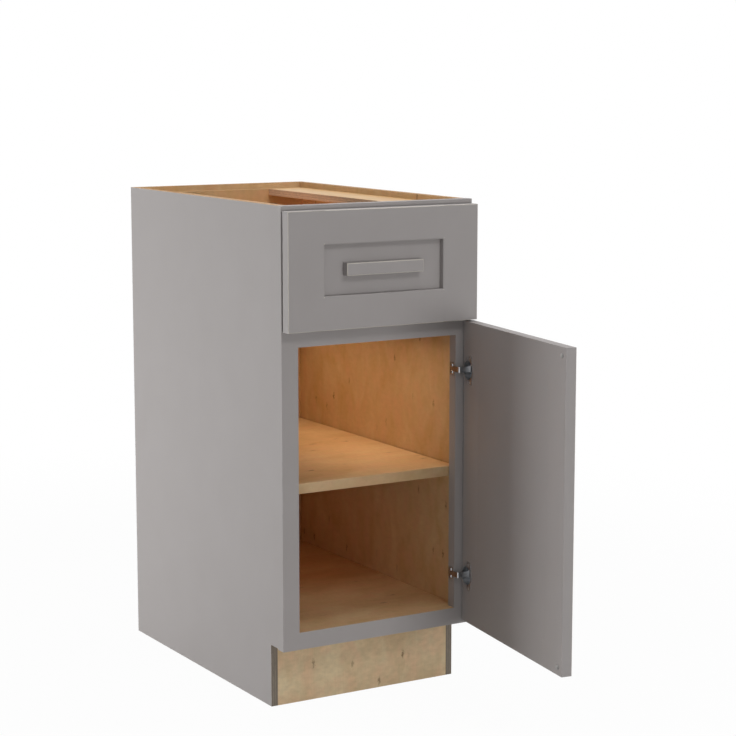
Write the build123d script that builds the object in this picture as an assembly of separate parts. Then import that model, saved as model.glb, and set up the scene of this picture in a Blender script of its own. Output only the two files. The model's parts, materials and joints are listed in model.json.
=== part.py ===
"""Kitchen base cabinet with one drawer over one right-hung door.

Millimetres. X runs to the right as one faces the cabinet, Y runs from the front towards the
wall and Z runs up. The origin is on the floor, at the middle of the back face. The door is
drawn part open, turned on its hinge pins, and the drawer is drawn shut.
"""
import os
from build123d import *

# Overall box, without the door and the drawer front; its depth comes from the drawer box
WIDTH = 381.0
HEIGHT = 876.3
TOE_HEIGHT = 111.1
TOE_DEPTH = 50.8

# Plywood of the box
SIDE_THICKNESS = 12.7
BACK_THICKNESS = 12.7
BOTTOM_THICKNESS = 12.7
TOE_BOARD_THICKNESS = 12.7
DADO_DEPTH = 6.35
RABBET_DEPTH = 6.35
TONGUE_THICKNESS = 6.35
TONGUE_DEPTH = 6.35
TONGUE_STOP = 25.0

# Boards under the open top
BRACE_DROP = 10.6
BRACE_WIDTH = 76.2
BRACE_THICKNESS = 12.7
NAILER_HEIGHT = 76.2
NAILER_THICKNESS = 12.7
COUNTER_HOLE_RADIUS = 2.5
COUNTER_HOLE_FROM_END = 110.0

# Face frame, a little wider than the box behind it
FRAME_THICKNESS = 19.05
FRAME_OVERHANG = 3.2
STILE_WIDTH = 31.75
TOP_RAIL_WIDTH = 38.1
MIDDLE_RAIL_WIDTH = 38.1
BOTTOM_RAIL_WIDTH = 30.2
FRAME_TENON_LENGTH = 12.0
FRAME_TENON_THICKNESS = 6.35
FRAME_TENON_SHOULDER = 5.0

# Layout of the door and the drawer front over the face frame
SIDE_REVEAL = 1.5
TOP_REVEAL = 8.0
BOTTOM_REVEAL = 6.9
FRONT_GAP = 3.1
DRAWER_FRONT_HEIGHT = 203.2
DOOR_TOP_OVERLAY = 24.8
DOOR_GAP = 3.0

# Five-piece door and drawer front
FRONT_THICKNESS = 19.05
FRONT_STILE_WIDTH = 70.5
FRONT_RAIL_WIDTH = 58.3
FRONT_PANEL_THICKNESS = 6.35
FRONT_PANEL_LAP = 10.0
FRONT_TENON_LENGTH = 14.0
FRONT_TENON_THICKNESS = 6.0
FRONT_TENON_SHOULDER = 14.0
FRONT_EDGE_RADIUS = 1.2
FRONT_RIM_BEVEL = 2.4
BUMPER_RADIUS = 4.0
BUMPER_THICKNESS = 2.6
BUMPER_INSET = 14.0

# Pull bar on the drawer front
PULL_LENGTH = 152.4
PULL_HEIGHT = 21.5
PULL_PROJECTION = 14.4
PULL_EDGE_RADIUS = 1.5
PULL_SCREW_SPACING = 96.0
PULL_SCREW_BITE = 7.0

# Concealed hinge, one pin each
DOOR_OPEN_ANGLE = 82.0
HINGE_FROM_DOOR_END = 86.0
PIN_FROM_EDGE = 7.4
PIN_FROM_BACK = 8.6
PIN_RADIUS = 1.4
PIN_RUNNING_FIT = 0.05
CUP_RADIUS = 17.5
CUP_DEPTH = 12.5
CUP_FROM_EDGE = 20.5
CUP_WALL = 0.8
CUP_SEAT_CLEARANCE = 0.05
CUP_FLANGE_THICKNESS = 1.2
CUP_FLANGE_LIP = 1.1
CUP_EAR_WIDTH = 18.0
CUP_EAR_HALF_HEIGHT = 26.0
CUP_SCREW_OFFSET = 4.5
CUP_SCREW_HALF_SPACING = 21.5
LUG_THICKNESS = 2.0
LUG_CLEARANCE = 0.4
ARM_THICKNESS = 1.5
ARM_WIDTH = 10.0
ARM_DROP = 1.0
ARM_BEND_RADIUS = 1.0
EYE_WALL = 0.75
ARM_PLATE_HEIGHT = 22.0
ARM_PLATE_LENGTH = 15.0
ARM_PLATE_CORNER = 3.0
ARM_SCREW_HALF_SPACING = 6.5

# Adjustable shelf and its pins
SHELF_THICKNESS = 18.0
SHELF_ABOVE_BOTTOM = 238.7
SHELF_FRONT_CLEARANCE = 1.5
SHELF_SIDE_CLEARANCE = 1.5
SHELF_BACK_CLEARANCE = 2.0
SHELF_PIN_RADIUS = 2.5
SHELF_PIN_HOLE_DEPTH = 9.0
SHELF_PIN_FIT = 0.03
SHELF_PIN_TAB = 9.0
SHELF_PIN_TAB_WIDTH = 7.0
SHELF_PIN_TAB_HEIGHT = 5.0
SHELF_PIN_INSET = 60.0

# Drawer box
BOX_SIDE_CLEARANCE = 4.8
BOX_LIFT = 14.0
BOX_HEIGHT = 127.0
BOX_LENGTH = 533.4
BOX_REAR_ROOM = 53.8
BOX_BOARD = 15.9
BOX_BOTTOM_THICKNESS = 9.5
BOX_BOTTOM_RECESS = 12.7
BOX_GROOVE_DEPTH = 6.35
BOX_EDGE_RADIUS = 1.5
TAIL_COUNT = 4
TAIL_LENGTH = 11.0
TAIL_SLOPE = 2.0
TAIL_TO_PITCH = 0.58

# Undermount slides, three nested channels a side
SLIDE_FRONT_GAP = 0.6
SLIDE_REAR_ROOM = 50.0
SLIDE_SIDE_GAP = 2.0
SLIDE_WIDTH = 34.0
SLIDE_STACK = 16.0
SLIDE_WALL = 1.5
SLIDE_CLEARANCE = 0.4
SLIDE_LIP_CLEARANCE = 4.0
SLIDE_REAR_SETBACK = 3.5
BRACKET_THICKNESS = 2.0
FRONT_BRACKET_DROP = 28.0
FRONT_BRACKET_REACH = 36.0
REAR_BRACKET_HEIGHT = 44.0
REAR_BRACKET_GRIP = 40.0
CLIP_LENGTH = 46.0
CLIP_WIDTH = 24.0
CLIP_HEIGHT = 3.4

# Knife insert in the drawer
INSERT_SIDE_CLEARANCE = 0.6
INSERT_FRONT_CLEARANCE = 1.0
INSERT_BASE_THICKNESS = 3.2
INSERT_TAIL = 62.0
INSERT_FENCE_THICKNESS = 7.0
INSERT_FENCE_HEIGHT = 25.0
INSERT_GAP = 46.0
INSERT_SLAT_LENGTH = 138.0
INSERT_SLAT_HEIGHT = 27.0
INSERT_SLAT_ROUNDING = 9.0
INSERT_SLAT_COUNT = 18
INSERT_SLOT_WIDTH = 4.6

# Screws
SCREW_SHANK_RADIUS = 1.75
SCREW_HEAD_RADIUS = 3.6
SCREW_HEAD_HEIGHT = 1.6
SCREW_TIP = 4.0
CUP_SCREW_HEAD_HEIGHT = 0.8
CUP_SCREW_LENGTH = 12.0
ARM_SCREW_LENGTH = 18.0
BRACKET_SCREW_LENGTH = 10.0
FRONT_SCREW_BITE = 12.0
RECESS_WIDTH = 0.9

# Places worked out from the sizes above
DEPTH = BOX_LENGTH - DOOR_GAP + BOX_REAR_ROOM + NAILER_THICKNESS + BACK_THICKNESS
HALF_WIDTH = WIDTH / 2
CARCASS_HALF = HALF_WIDTH - FRAME_OVERHANG
INSIDE = CARCASS_HALF - SIDE_THICKNESS
FRONT_Y = -DEPTH
FRAME_BACK_Y = FRONT_Y + FRAME_THICKNESS
BACK_INNER_Y = -BACK_THICKNESS
TOE_Y = FRONT_Y + TOE_DEPTH
BOTTOM_TOP = TOE_HEIGHT + BOTTOM_RAIL_WIDTH
BOTTOM_UNDERSIDE = BOTTOM_TOP - BOTTOM_THICKNESS
OPENING = HALF_WIDTH - STILE_WIDTH
BRACE_TOP = HEIGHT - BRACE_DROP
NAILER_FRONT_Y = BACK_INNER_Y - NAILER_THICKNESS

FRONT_HALF = HALF_WIDTH - SIDE_REVEAL
LEAF_BACK_Y = FRONT_Y - DOOR_GAP
LEAF_FACE_Y = LEAF_BACK_Y - FRONT_THICKNESS
DRAWER_FRONT_TOP = HEIGHT - TOP_REVEAL
DRAWER_FRONT_BASE = DRAWER_FRONT_TOP - DRAWER_FRONT_HEIGHT
DOOR_TOP = DRAWER_FRONT_BASE - FRONT_GAP
DOOR_BASE = TOE_HEIGHT + BOTTOM_REVEAL
MIDDLE_RAIL_BASE = DOOR_TOP - DOOR_TOP_OVERLAY
MIDDLE_RAIL_TOP = MIDDLE_RAIL_BASE + MIDDLE_RAIL_WIDTH

PIN_X = FRONT_HALF - PIN_FROM_EDGE
PIN_Y = LEAF_BACK_Y - PIN_FROM_BACK
PIN_AXIS = Axis((PIN_X, PIN_Y, 0), (0, 0, 1))
CUP_X = FRONT_HALF - CUP_FROM_EDGE
HINGE_HEIGHTS = {
    "upper": DOOR_TOP - HINGE_FROM_DOOR_END,
    "lower": DOOR_BASE + HINGE_FROM_DOOR_END,
}

BOX_HALF = OPENING - BOX_SIDE_CLEARANCE
BOX_INSIDE = BOX_HALF - BOX_BOARD
BOX_BASE = MIDDLE_RAIL_TOP + BOX_LIFT
BOX_TOP = BOX_BASE + BOX_HEIGHT
BOX_FRONT_Y = LEAF_BACK_Y
BOX_FRONT_INNER_Y = BOX_FRONT_Y + BOX_BOARD
BOX_REAR_Y = BOX_FRONT_Y + BOX_LENGTH
BOX_REAR_INNER_Y = BOX_REAR_Y - BOX_BOARD
FLOOR_UNDERSIDE = BOX_BASE + BOX_BOTTOM_RECESS
FLOOR_TOP = FLOOR_UNDERSIDE + BOX_BOTTOM_THICKNESS

SLIDE_OUTER = BOX_INSIDE - SLIDE_SIDE_GAP
SLIDE_INNER = SLIDE_OUTER - SLIDE_WIDTH
SLIDE_FRONT_Y = BOX_FRONT_INNER_Y + SLIDE_FRONT_GAP
SLIDE_REAR_Y = BACK_INNER_Y - SLIDE_REAR_ROOM
SLIDE_LENGTH = SLIDE_REAR_Y - SLIDE_FRONT_Y
SLIDE_BASE = FLOOR_UNDERSIDE - SLIDE_STACK
SLIDE_LIP_TOP = FLOOR_UNDERSIDE - SLIDE_LIP_CLEARANCE

SIDES = {"left": -1, "right": 1}
LOW = (Align.MIN, Align.MIN, Align.MIN)
FOOT = (Align.CENTER, Align.CENTER, Align.MIN)

HEAD_FACES = {
    "-X": Rot(0, -90, 0),
    "+X": Rot(0, 90, 0),
    "-Y": Rot(90, 0, 0),
    "+Y": Rot(-90, 0, 0),
    "+Z": Rot(0, 0, 0),
    "-Z": Rot(180, 0, 0),
}


def block(x, y, z):
    """Box between a low and a high value along each axis."""
    return Pos(x[0], y[0], z[0]) * Box(x[1] - x[0], y[1] - y[0], z[1] - z[0], align=LOW)


def sided(side, low, high):
    """Span from low to high on the right, or its mirror image on the left."""
    return (low, high) if side > 0 else (-high, -low)


def rod(faces, at, radius, length):
    """Round bar that starts at a point and runs the way that its end faces."""
    return Pos(*at) * HEAD_FACES[faces] * Cylinder(radius, length, align=FOOT)


def screw(faces, at, length, head_height=SCREW_HEAD_HEIGHT):
    """Pan-head wood screw whose head sits on a point and faces the given way."""
    outline = Polyline(
        (0, 0, -length),
        (SCREW_SHANK_RADIUS, 0, -length + SCREW_TIP),
        (SCREW_SHANK_RADIUS, 0, 0),
        (SCREW_HEAD_RADIUS, 0, 0),
        (SCREW_HEAD_RADIUS, 0, head_height / 2),
        (SCREW_HEAD_RADIUS / 2, 0, head_height),
        (0, 0, head_height),
        close=True,
    )
    body = revolve(make_face(outline), Axis.Z)
    for size in ((SCREW_HEAD_RADIUS, RECESS_WIDTH), (RECESS_WIDTH, SCREW_HEAD_RADIUS)):
        body -= Pos(0, 0, head_height / 2) * Box(*size, head_height, align=FOOT)
    return Pos(*at) * HEAD_FACES[faces] * body


def pilot(faces, at, length):
    """Hole that a screw of this length fills."""
    outline = Polyline(
        (0, 0, -length),
        (SCREW_SHANK_RADIUS, 0, -length + SCREW_TIP),
        (SCREW_SHANK_RADIUS, 0, 0),
        (0, 0, 0),
        close=True,
    )
    return Pos(*at) * HEAD_FACES[faces] * revolve(make_face(outline), Axis.Z)


def cut_all(solid, cutters):
    """Take a list of solids out of one solid."""
    for cutter in cutters:
        solid = solid - cutter
    return solid


def group(solids):
    """Separate solids that share one node."""
    return Compound([piece for shape in solids for piece in shape.solids()])


def opened(shape):
    """Turn a piece of the closed door to the angle at which it is drawn."""
    return shape.rotate(PIN_AXIS, DOOR_OPEN_ANGLE)


def shelf_pin_places():
    """Side and depth of each of the four shelf pins."""
    front = FRAME_BACK_Y + SHELF_FRONT_CLEARANCE + SHELF_PIN_INSET
    rear = BACK_INNER_Y - SHELF_BACK_CLEARANCE - SHELF_PIN_INSET
    return [(side, y) for side in SIDES.values() for y in (front, rear)]


SHELF_UNDERSIDE = BOTTOM_TOP + SHELF_ABOVE_BOTTOM
SHELF_PIN_Z = SHELF_UNDERSIDE - SHELF_PIN_TAB_HEIGHT / 2


def inward(side):
    """Name of the direction that points from a side wall into the cabinet."""
    return "-X" if side > 0 else "+X"


def bottom_panel():
    """Floor of the cabinet, housed in both sides and level with the bottom rail."""
    reach = INSIDE + DADO_DEPTH
    return block((-reach, reach), (FRAME_BACK_Y, BACK_INNER_Y), (BOTTOM_UNDERSIDE, BOTTOM_TOP))


def back_panel():
    """Full-height back, let into a rabbet in both sides."""
    reach = INSIDE + RABBET_DEPTH
    return block((-reach, reach), (BACK_INNER_Y, 0), (0, HEIGHT))


def tongue(side):
    """Stopped tongue on the front edge of a side panel."""
    centre = CARCASS_HALF - SIDE_THICKNESS / 2
    half = TONGUE_THICKNESS / 2
    return block(
        sided(side, centre - half, centre + half),
        (FRAME_BACK_Y - TONGUE_DEPTH, FRAME_BACK_Y),
        (TOE_HEIGHT + TONGUE_STOP, HEIGHT - TONGUE_STOP),
    )


def side_panel(side):
    """Side with its toe notch, dado, rear rabbet, front tongue and shelf pin holes."""
    panel = block(sided(side, INSIDE, CARCASS_HALF), (FRAME_BACK_Y, 0), (0, HEIGHT))
    panel -= block(sided(side, INSIDE, CARCASS_HALF), (FRAME_BACK_Y, TOE_Y), (0, TOE_HEIGHT))
    panel = cut_all(panel, [bottom_panel(), back_panel()])
    panel += tongue(side)
    outward = inward(-side)
    for pin_side, y in shelf_pin_places():
        if pin_side == side:
            hole = rod(outward, (side * INSIDE, y, SHELF_PIN_Z),
                       SHELF_PIN_RADIUS + SHELF_PIN_FIT, SHELF_PIN_HOLE_DEPTH)
            panel -= hole
    return panel


def toe_kick_board():
    """Board across the toe space, from the floor to the underside of the bottom."""
    return block((-INSIDE, INSIDE), (TOE_Y, TOE_Y + TOE_BOARD_THICKNESS), (0, BOTTOM_UNDERSIDE))


def back_nailer_rail():
    """Rail on the back panel through which the cabinet is screwed to the wall."""
    return block((-INSIDE, INSIDE), (NAILER_FRONT_Y, BACK_INNER_Y),
                 (BRACE_TOP - NAILER_HEIGHT, BRACE_TOP))


def top_brace(side):
    """Flat board along a side that takes the screws of a worktop."""
    board = block(sided(side, INSIDE - BRACE_WIDTH, INSIDE), (FRAME_BACK_Y, NAILER_FRONT_Y),
                  (BRACE_TOP - BRACE_THICKNESS, BRACE_TOP))
    x = side * (INSIDE - BRACE_WIDTH / 2)
    for y in (FRAME_BACK_Y + COUNTER_HOLE_FROM_END, NAILER_FRONT_Y - COUNTER_HOLE_FROM_END):
        board -= rod("-Z", (x, y, BRACE_TOP), COUNTER_HOLE_RADIUS, BRACE_THICKNESS)
    return board


FRAME_RAILS = {
    "top": (HEIGHT - TOP_RAIL_WIDTH, HEIGHT),
    "middle": (MIDDLE_RAIL_BASE, MIDDLE_RAIL_TOP),
    "bottom": (TOE_HEIGHT, BOTTOM_TOP),
}


def frame_tenon(rail):
    """Bar that carries the tenons at both ends of a face-frame rail."""
    low, high = FRAME_RAILS[rail]
    reach = OPENING + FRAME_TENON_LENGTH
    middle = FRONT_Y + FRAME_THICKNESS / 2
    half = FRAME_TENON_THICKNESS / 2
    return block((-reach, reach), (middle - half, middle + half),
                 (low + FRAME_TENON_SHOULDER, high - FRAME_TENON_SHOULDER))


def bracket_screw_places():
    """Points on the back of the middle rail where the front slide brackets are screwed."""
    z = MIDDLE_RAIL_TOP - FRONT_BRACKET_DROP / 2
    quarter = SLIDE_WIDTH / 4
    centre = SLIDE_INNER + SLIDE_WIDTH / 2
    y = FRAME_BACK_Y + BRACKET_THICKNESS
    return [(side * (centre + step), y, z) for side in SIDES.values() for step in (-quarter, quarter)]


def frame_rail(rail):
    """Face-frame rail with a stub tenon at each end."""
    bar = block((-OPENING, OPENING), (FRONT_Y, FRAME_BACK_Y), FRAME_RAILS[rail])
    bar += frame_tenon(rail)
    if rail == "middle":
        bar = cut_all(bar, [pilot("+Y", at, BRACKET_SCREW_LENGTH) for at in bracket_screw_places()])
    return bar


def arm_screw_places():
    """Points on the hinge plates where their screws enter the right stile."""
    y = FRONT_Y + FRAME_THICKNESS / 2
    x = OPENING - ARM_THICKNESS
    return [(x, y, z + step) for z in HINGE_HEIGHTS.values()
            for step in (-ARM_SCREW_HALF_SPACING, ARM_SCREW_HALF_SPACING)]


def frame_stile(side):
    """Face-frame stile, mortised for the rails and grooved for the side panel."""
    bar = block(sided(side, OPENING, HALF_WIDTH), (FRONT_Y, FRAME_BACK_Y), (TOE_HEIGHT, HEIGHT))
    bar = cut_all(bar, [frame_tenon(rail) for rail in FRAME_RAILS])
    bar -= tongue(side)
    if side > 0:
        bar = cut_all(bar, [pilot("-X", at, ARM_SCREW_LENGTH) for at in arm_screw_places()])
    return bar


def shelf():
    """Loose shelf that rests on the four pins."""
    half = INSIDE - SHELF_SIDE_CLEARANCE
    return block((-half, half),
                 (FRAME_BACK_Y + SHELF_FRONT_CLEARANCE, BACK_INNER_Y - SHELF_BACK_CLEARANCE),
                 (SHELF_UNDERSIDE, SHELF_UNDERSIDE + SHELF_THICKNESS))


def shelf_pin(side, y):
    """Shelf pin: a round barrel in the side panel and a flat-topped tab under the shelf."""
    barrel = rod(inward(-side), (side * INSIDE, y, SHELF_PIN_Z), SHELF_PIN_RADIUS, SHELF_PIN_HOLE_DEPTH)
    half = SHELF_PIN_TAB_WIDTH / 2
    tab = block(sided(side, INSIDE - SHELF_PIN_TAB, INSIDE), (y - half, y + half),
                (SHELF_UNDERSIDE - SHELF_PIN_TAB_HEIGHT, SHELF_UNDERSIDE))
    return barrel + tab


def leaf_pieces(base, top):
    """Stiles, rails and flush-backed panel of a five-piece front between two heights."""
    stile_inner = FRONT_HALF - FRONT_STILE_WIDTH
    lap_x = stile_inner + FRONT_PANEL_LAP
    rail_low = base + FRONT_RAIL_WIDTH
    rail_high = top - FRONT_RAIL_WIDTH
    depth = (LEAF_FACE_Y, LEAF_BACK_Y)
    panel_face = LEAF_BACK_Y - FRONT_PANEL_THICKNESS
    panel = block((-lap_x, lap_x), (panel_face, LEAF_BACK_Y),
                  (rail_low - FRONT_PANEL_LAP, rail_high + FRONT_PANEL_LAP))
    whole = block((-FRONT_HALF, FRONT_HALF), depth, (base, top))
    whole = fillet(whole.faces().sort_by(Axis.Y)[0].edges(), FRONT_EDGE_RADIUS)
    whole -= block((-stile_inner, stile_inner), (LEAF_FACE_Y, panel_face), (rail_low, rail_high))
    rim = [
        edge for edge in whole.faces().sort_by(Axis.Y)[0].edges()
        if abs(edge.center().X) <= stile_inner and rail_low <= edge.center().Z <= rail_high
    ]
    whole = chamfer(rim, FRONT_RIM_BEVEL)
    middle = LEAF_FACE_Y + FRONT_THICKNESS / 2
    half = FRONT_TENON_THICKNESS / 2
    reach = stile_inner + FRONT_TENON_LENGTH
    spans = {"top_rail": (rail_high, top), "bottom_rail": (base, rail_low)}
    tenons = {
        name: block((-reach, reach), (middle - half, middle + half),
                    (low + FRONT_TENON_SHOULDER, high - FRONT_TENON_SHOULDER))
        for name, (low, high) in spans.items()
    }
    pieces = {"panel": panel}
    for name, span in spans.items():
        bar = whole & block((-stile_inner, stile_inner), depth, span)
        pieces[name] = bar - panel + tenons[name]
    for name, side in SIDES.items():
        bar = whole & block(sided(side, stile_inner, FRONT_HALF), depth, (base, top))
        pieces[name + "_stile"] = cut_all(bar, [panel, *tenons.values()])
    return pieces


def bumper(x, z):
    """Soft stop on the back of a front, a little thinner than the gap to the frame."""
    return rod("+Y", (x, LEAF_BACK_Y, z), BUMPER_RADIUS, BUMPER_THICKNESS)


def cup_screw_places(z):
    """Points on a hinge cup's flange where its screws enter the door."""
    y = LEAF_BACK_Y + CUP_FLANGE_THICKNESS
    x = CUP_X - CUP_SCREW_OFFSET
    return [(x, y, z + step) for step in (-CUP_SCREW_HALF_SPACING, CUP_SCREW_HALF_SPACING)]


def cup_bore(z):
    """Round pocket in the back of the door for a hinge cup."""
    return rod("-Y", (CUP_X, LEAF_BACK_Y, z), CUP_RADIUS, CUP_DEPTH)


def hinge_pin(z):
    """Pin between the two lugs of a hinge cup."""
    reach = ARM_WIDTH / 2 + LUG_CLEARANCE + LUG_THICKNESS
    return rod("+Z", (PIN_X, PIN_Y, z - reach), PIN_RADIUS, 2 * reach)


def hinge_cup(z):
    """Pressed cup with its flange and the two lugs that hold the pin."""
    outer = CUP_RADIUS - CUP_SEAT_CLEARANCE
    depth = CUP_DEPTH - CUP_SEAT_CLEARANCE
    flange_y = LEAF_BACK_Y + CUP_FLANGE_THICKNESS
    floor_y = LEAF_BACK_Y - depth + CUP_WALL
    bowl = rod("-Y", (CUP_X, LEAF_BACK_Y, z), outer, depth)
    flange = rod("+Y", (CUP_X, LEAF_BACK_Y, z), CUP_RADIUS + CUP_FLANGE_LIP, CUP_FLANGE_THICKNESS)
    ear_x = CUP_X - CUP_SCREW_OFFSET
    ears = block((ear_x - CUP_EAR_WIDTH / 2, ear_x + CUP_EAR_WIDTH / 2), (LEAF_BACK_Y, flange_y),
                 (z - CUP_EAR_HALF_HEIGHT, z + CUP_EAR_HALF_HEIGHT))
    ears = fillet(ears.edges().filter_by(Axis.Y), CUP_EAR_WIDTH / 3)
    cup = bowl + flange + ears
    cup -= rod("-Y", (CUP_X, flange_y, z), outer - CUP_WALL, flange_y - floor_y)
    eye_radius = PIN_RADIUS + PIN_RUNNING_FIT + EYE_WALL
    near = ARM_WIDTH / 2 + LUG_CLEARANCE
    space = rod("-Y", (CUP_X, LEAF_BACK_Y, z), outer, LEAF_BACK_Y - floor_y)
    for side in SIDES.values():
        low, high = sorted((z + side * near, z + side * (near + LUG_THICKNESS)))
        lug = block((PIN_X - eye_radius, CUP_X + outer), (floor_y, PIN_Y + eye_radius), (low, high))
        cup += lug & space
    cup -= hinge_pin(z)
    return cut_all(cup, [pilot("+Y", at, CUP_SCREW_LENGTH) for at in cup_screw_places(z)])


def hinge_arm(z):
    """Bent arm from a plate on the stile's inner edge to the eye round the pin."""
    half = ARM_WIDTH / 2
    inner = (OPENING - ARM_THICKNESS, OPENING)
    arm_low = PIN_Y - ARM_DROP - ARM_THICKNESS / 2
    plate_half = ARM_PLATE_LENGTH / 2
    middle = FRONT_Y + FRAME_THICKNESS / 2
    plate = block(inner, (middle - plate_half, middle + plate_half),
                  (z - ARM_PLATE_HEIGHT / 2, z + ARM_PLATE_HEIGHT / 2))
    plate = fillet(plate.edges().filter_by(Axis.X), ARM_PLATE_CORNER)
    neck = block(inner, (arm_low, middle), (z - half, z + half))
    reach = block((inner[0], PIN_X), (arm_low, arm_low + ARM_THICKNESS), (z - half, z + half))
    strip = neck + reach
    upright = strip.edges().filter_by(Axis.Z)
    outside_bend = upright.sort_by_distance((inner[0], arm_low, z))[0]
    strip = fillet(outside_bend, ARM_BEND_RADIUS + ARM_THICKNESS)
    upright = strip.edges().filter_by(Axis.Z)
    inside_bend = upright.sort_by_distance((inner[1], arm_low + ARM_THICKNESS, z))[0]
    strip = fillet(inside_bend, ARM_BEND_RADIUS)
    hole = PIN_RADIUS + PIN_RUNNING_FIT
    eye = rod("+Z", (PIN_X, PIN_Y, z - half), hole + EYE_WALL, ARM_WIDTH)
    arm = plate + strip + eye
    arm -= rod("+Z", (PIN_X, PIN_Y, z - half), hole, ARM_WIDTH)
    screws = [at for at in arm_screw_places() if abs(at[2] - z) < ARM_PLATE_HEIGHT]
    return cut_all(arm, [pilot("-X", at, ARM_SCREW_LENGTH) for at in screws])


def tail_places():
    """Middle height of each dovetail on the drawer sides."""
    pitch = BOX_HEIGHT / TAIL_COUNT
    return [BOX_BASE + pitch * (index + 0.5) for index in range(TAIL_COUNT)]


def front_tails(side):
    """Dovetails that join a drawer side to the front board of the box."""
    half = BOX_HEIGHT / TAIL_COUNT * TAIL_TO_PITCH / 2
    tails = []
    root, tip = half - TAIL_SLOPE, half
    for z in tail_places():
        outline = Polyline(
            (0, BOX_FRONT_INNER_Y, z - root),
            (0, BOX_FRONT_INNER_Y, z + root),
            (0, BOX_FRONT_INNER_Y - TAIL_LENGTH, z + tip),
            (0, BOX_FRONT_INNER_Y - TAIL_LENGTH, z - tip),
            close=True,
        )
        wedge = extrude(make_face(outline), amount=BOX_BOARD, dir=(1, 0, 0))
        tails.append(Pos(sided(side, BOX_INSIDE, BOX_HALF)[0], 0, 0) * wedge)
    return tails


def drawer_floor():
    """Bottom of the drawer box, housed in the sides and the front and run under the back."""
    reach = BOX_INSIDE + BOX_GROOVE_DEPTH
    return block((-reach, reach), (BOX_FRONT_INNER_Y - BOX_GROOVE_DEPTH, BOX_REAR_Y),
                 (FLOOR_UNDERSIDE, FLOOR_TOP))


def eased(board, along):
    """Round over the two top edges of a drawer board that run along an axis."""
    return fillet(board.edges().filter_by(along).group_by(Axis.Z)[-1], BOX_EDGE_RADIUS)


def drawer_side(side):
    """Side of the drawer box with its dovetails and the groove for the bottom."""
    board = block(sided(side, BOX_INSIDE, BOX_HALF), (BOX_FRONT_INNER_Y, BOX_REAR_Y), (BOX_BASE, BOX_TOP))
    board = eased(board, Axis.Y)
    for tail in front_tails(side):
        board += tail
    return board - drawer_floor()


def pull_screw_places():
    """Points inside the drawer where the pull's screws enter the box front."""
    z = (DRAWER_FRONT_TOP + DRAWER_FRONT_BASE) / 2
    half = PULL_SCREW_SPACING / 2
    return [(x, BOX_FRONT_INNER_Y, z) for x in (-half, half)]


def front_screw_places():
    """Points inside the drawer where the drawer front's screws enter the box front."""
    x = BOX_INSIDE - BOX_GROOVE_DEPTH
    spread = BOX_HEIGHT / 4
    middle = (FLOOR_TOP + BOX_TOP) / 2
    return [(side * x, BOX_FRONT_INNER_Y, middle + step)
            for side in SIDES.values() for step in (-spread, spread)]


PULL_SCREW_LENGTH = BOX_BOARD + FRONT_PANEL_THICKNESS + PULL_SCREW_BITE
FRONT_SCREW_LENGTH = BOX_BOARD + FRONT_SCREW_BITE


def pull_pilots():
    """Holes of the pull's screws."""
    return [pilot("+Y", at, PULL_SCREW_LENGTH) for at in pull_screw_places()]


def front_pilots():
    """Holes of the drawer front's screws."""
    return [pilot("+Y", at, FRONT_SCREW_LENGTH) for at in front_screw_places()]


def drawer_box_front():
    """Front board of the drawer box, with sockets for the dovetails."""
    board = block((-BOX_HALF, BOX_HALF), (BOX_FRONT_Y, BOX_FRONT_INNER_Y), (BOX_BASE, BOX_TOP))
    board = eased(board, Axis.X)
    sockets = front_tails(-1) + front_tails(1)
    return cut_all(board, sockets + [drawer_floor()] + pull_pilots() + front_pilots())


def drawer_box_back():
    """Back board of the drawer box, standing on the bottom between the sides."""
    board = block((-BOX_INSIDE, BOX_INSIDE), (BOX_REAR_INNER_Y, BOX_REAR_Y), (FLOOR_TOP, BOX_TOP))
    return eased(board, Axis.X)


def pull_bar():
    """Painted bar on the recessed panel of the drawer front."""
    z = (DRAWER_FRONT_TOP + DRAWER_FRONT_BASE) / 2
    seat = LEAF_BACK_Y - FRONT_PANEL_THICKNESS
    bar = block((-PULL_LENGTH / 2, PULL_LENGTH / 2), (seat - PULL_PROJECTION, seat),
                (z - PULL_HEIGHT / 2, z + PULL_HEIGHT / 2))
    bar = fillet(bar.faces().sort_by(Axis.Y)[0].edges(), PULL_EDGE_RADIUS)
    return cut_all(bar, pull_pilots())


def channel(side, inset, base, top, length, wall):
    """Slide member that is open upwards: a floor with two walls."""
    outer = (SLIDE_INNER + inset, SLIDE_OUTER - inset)
    inner = (outer[0] + wall, outer[1] - wall)
    depth = (SLIDE_FRONT_Y, SLIDE_FRONT_Y + length)
    body = block(sided(side, *outer), depth, (base, top))
    return body - block(sided(side, *inner), depth, (base + wall, top))


def cabinet_member(side):
    """Outer channel of a slide, fixed to the cabinet."""
    return channel(side, 0, SLIDE_BASE, SLIDE_LIP_TOP, SLIDE_LENGTH, SLIDE_WALL)


MEMBER_STEP = SLIDE_WALL + SLIDE_CLEARANCE


def middle_member(side):
    """Channel that runs in the cabinet member and carries the drawer member."""
    return channel(side, MEMBER_STEP, SLIDE_BASE + MEMBER_STEP, SLIDE_LIP_TOP, SLIDE_LENGTH, SLIDE_WALL)


def drawer_member(side):
    """Inverted channel under the drawer that runs in the middle member."""
    outer = (SLIDE_INNER + 2 * MEMBER_STEP, SLIDE_OUTER - 2 * MEMBER_STEP)
    inner = (outer[0] + SLIDE_WALL, outer[1] - SLIDE_WALL)
    depth = (SLIDE_FRONT_Y, BOX_REAR_Y - SLIDE_REAR_SETBACK)
    base = SLIDE_BASE + 2 * MEMBER_STEP
    body = block(sided(side, *outer), depth, (base, FLOOR_UNDERSIDE))
    return body - block(sided(side, *inner), depth, (base, FLOOR_UNDERSIDE - SLIDE_WALL))


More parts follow.
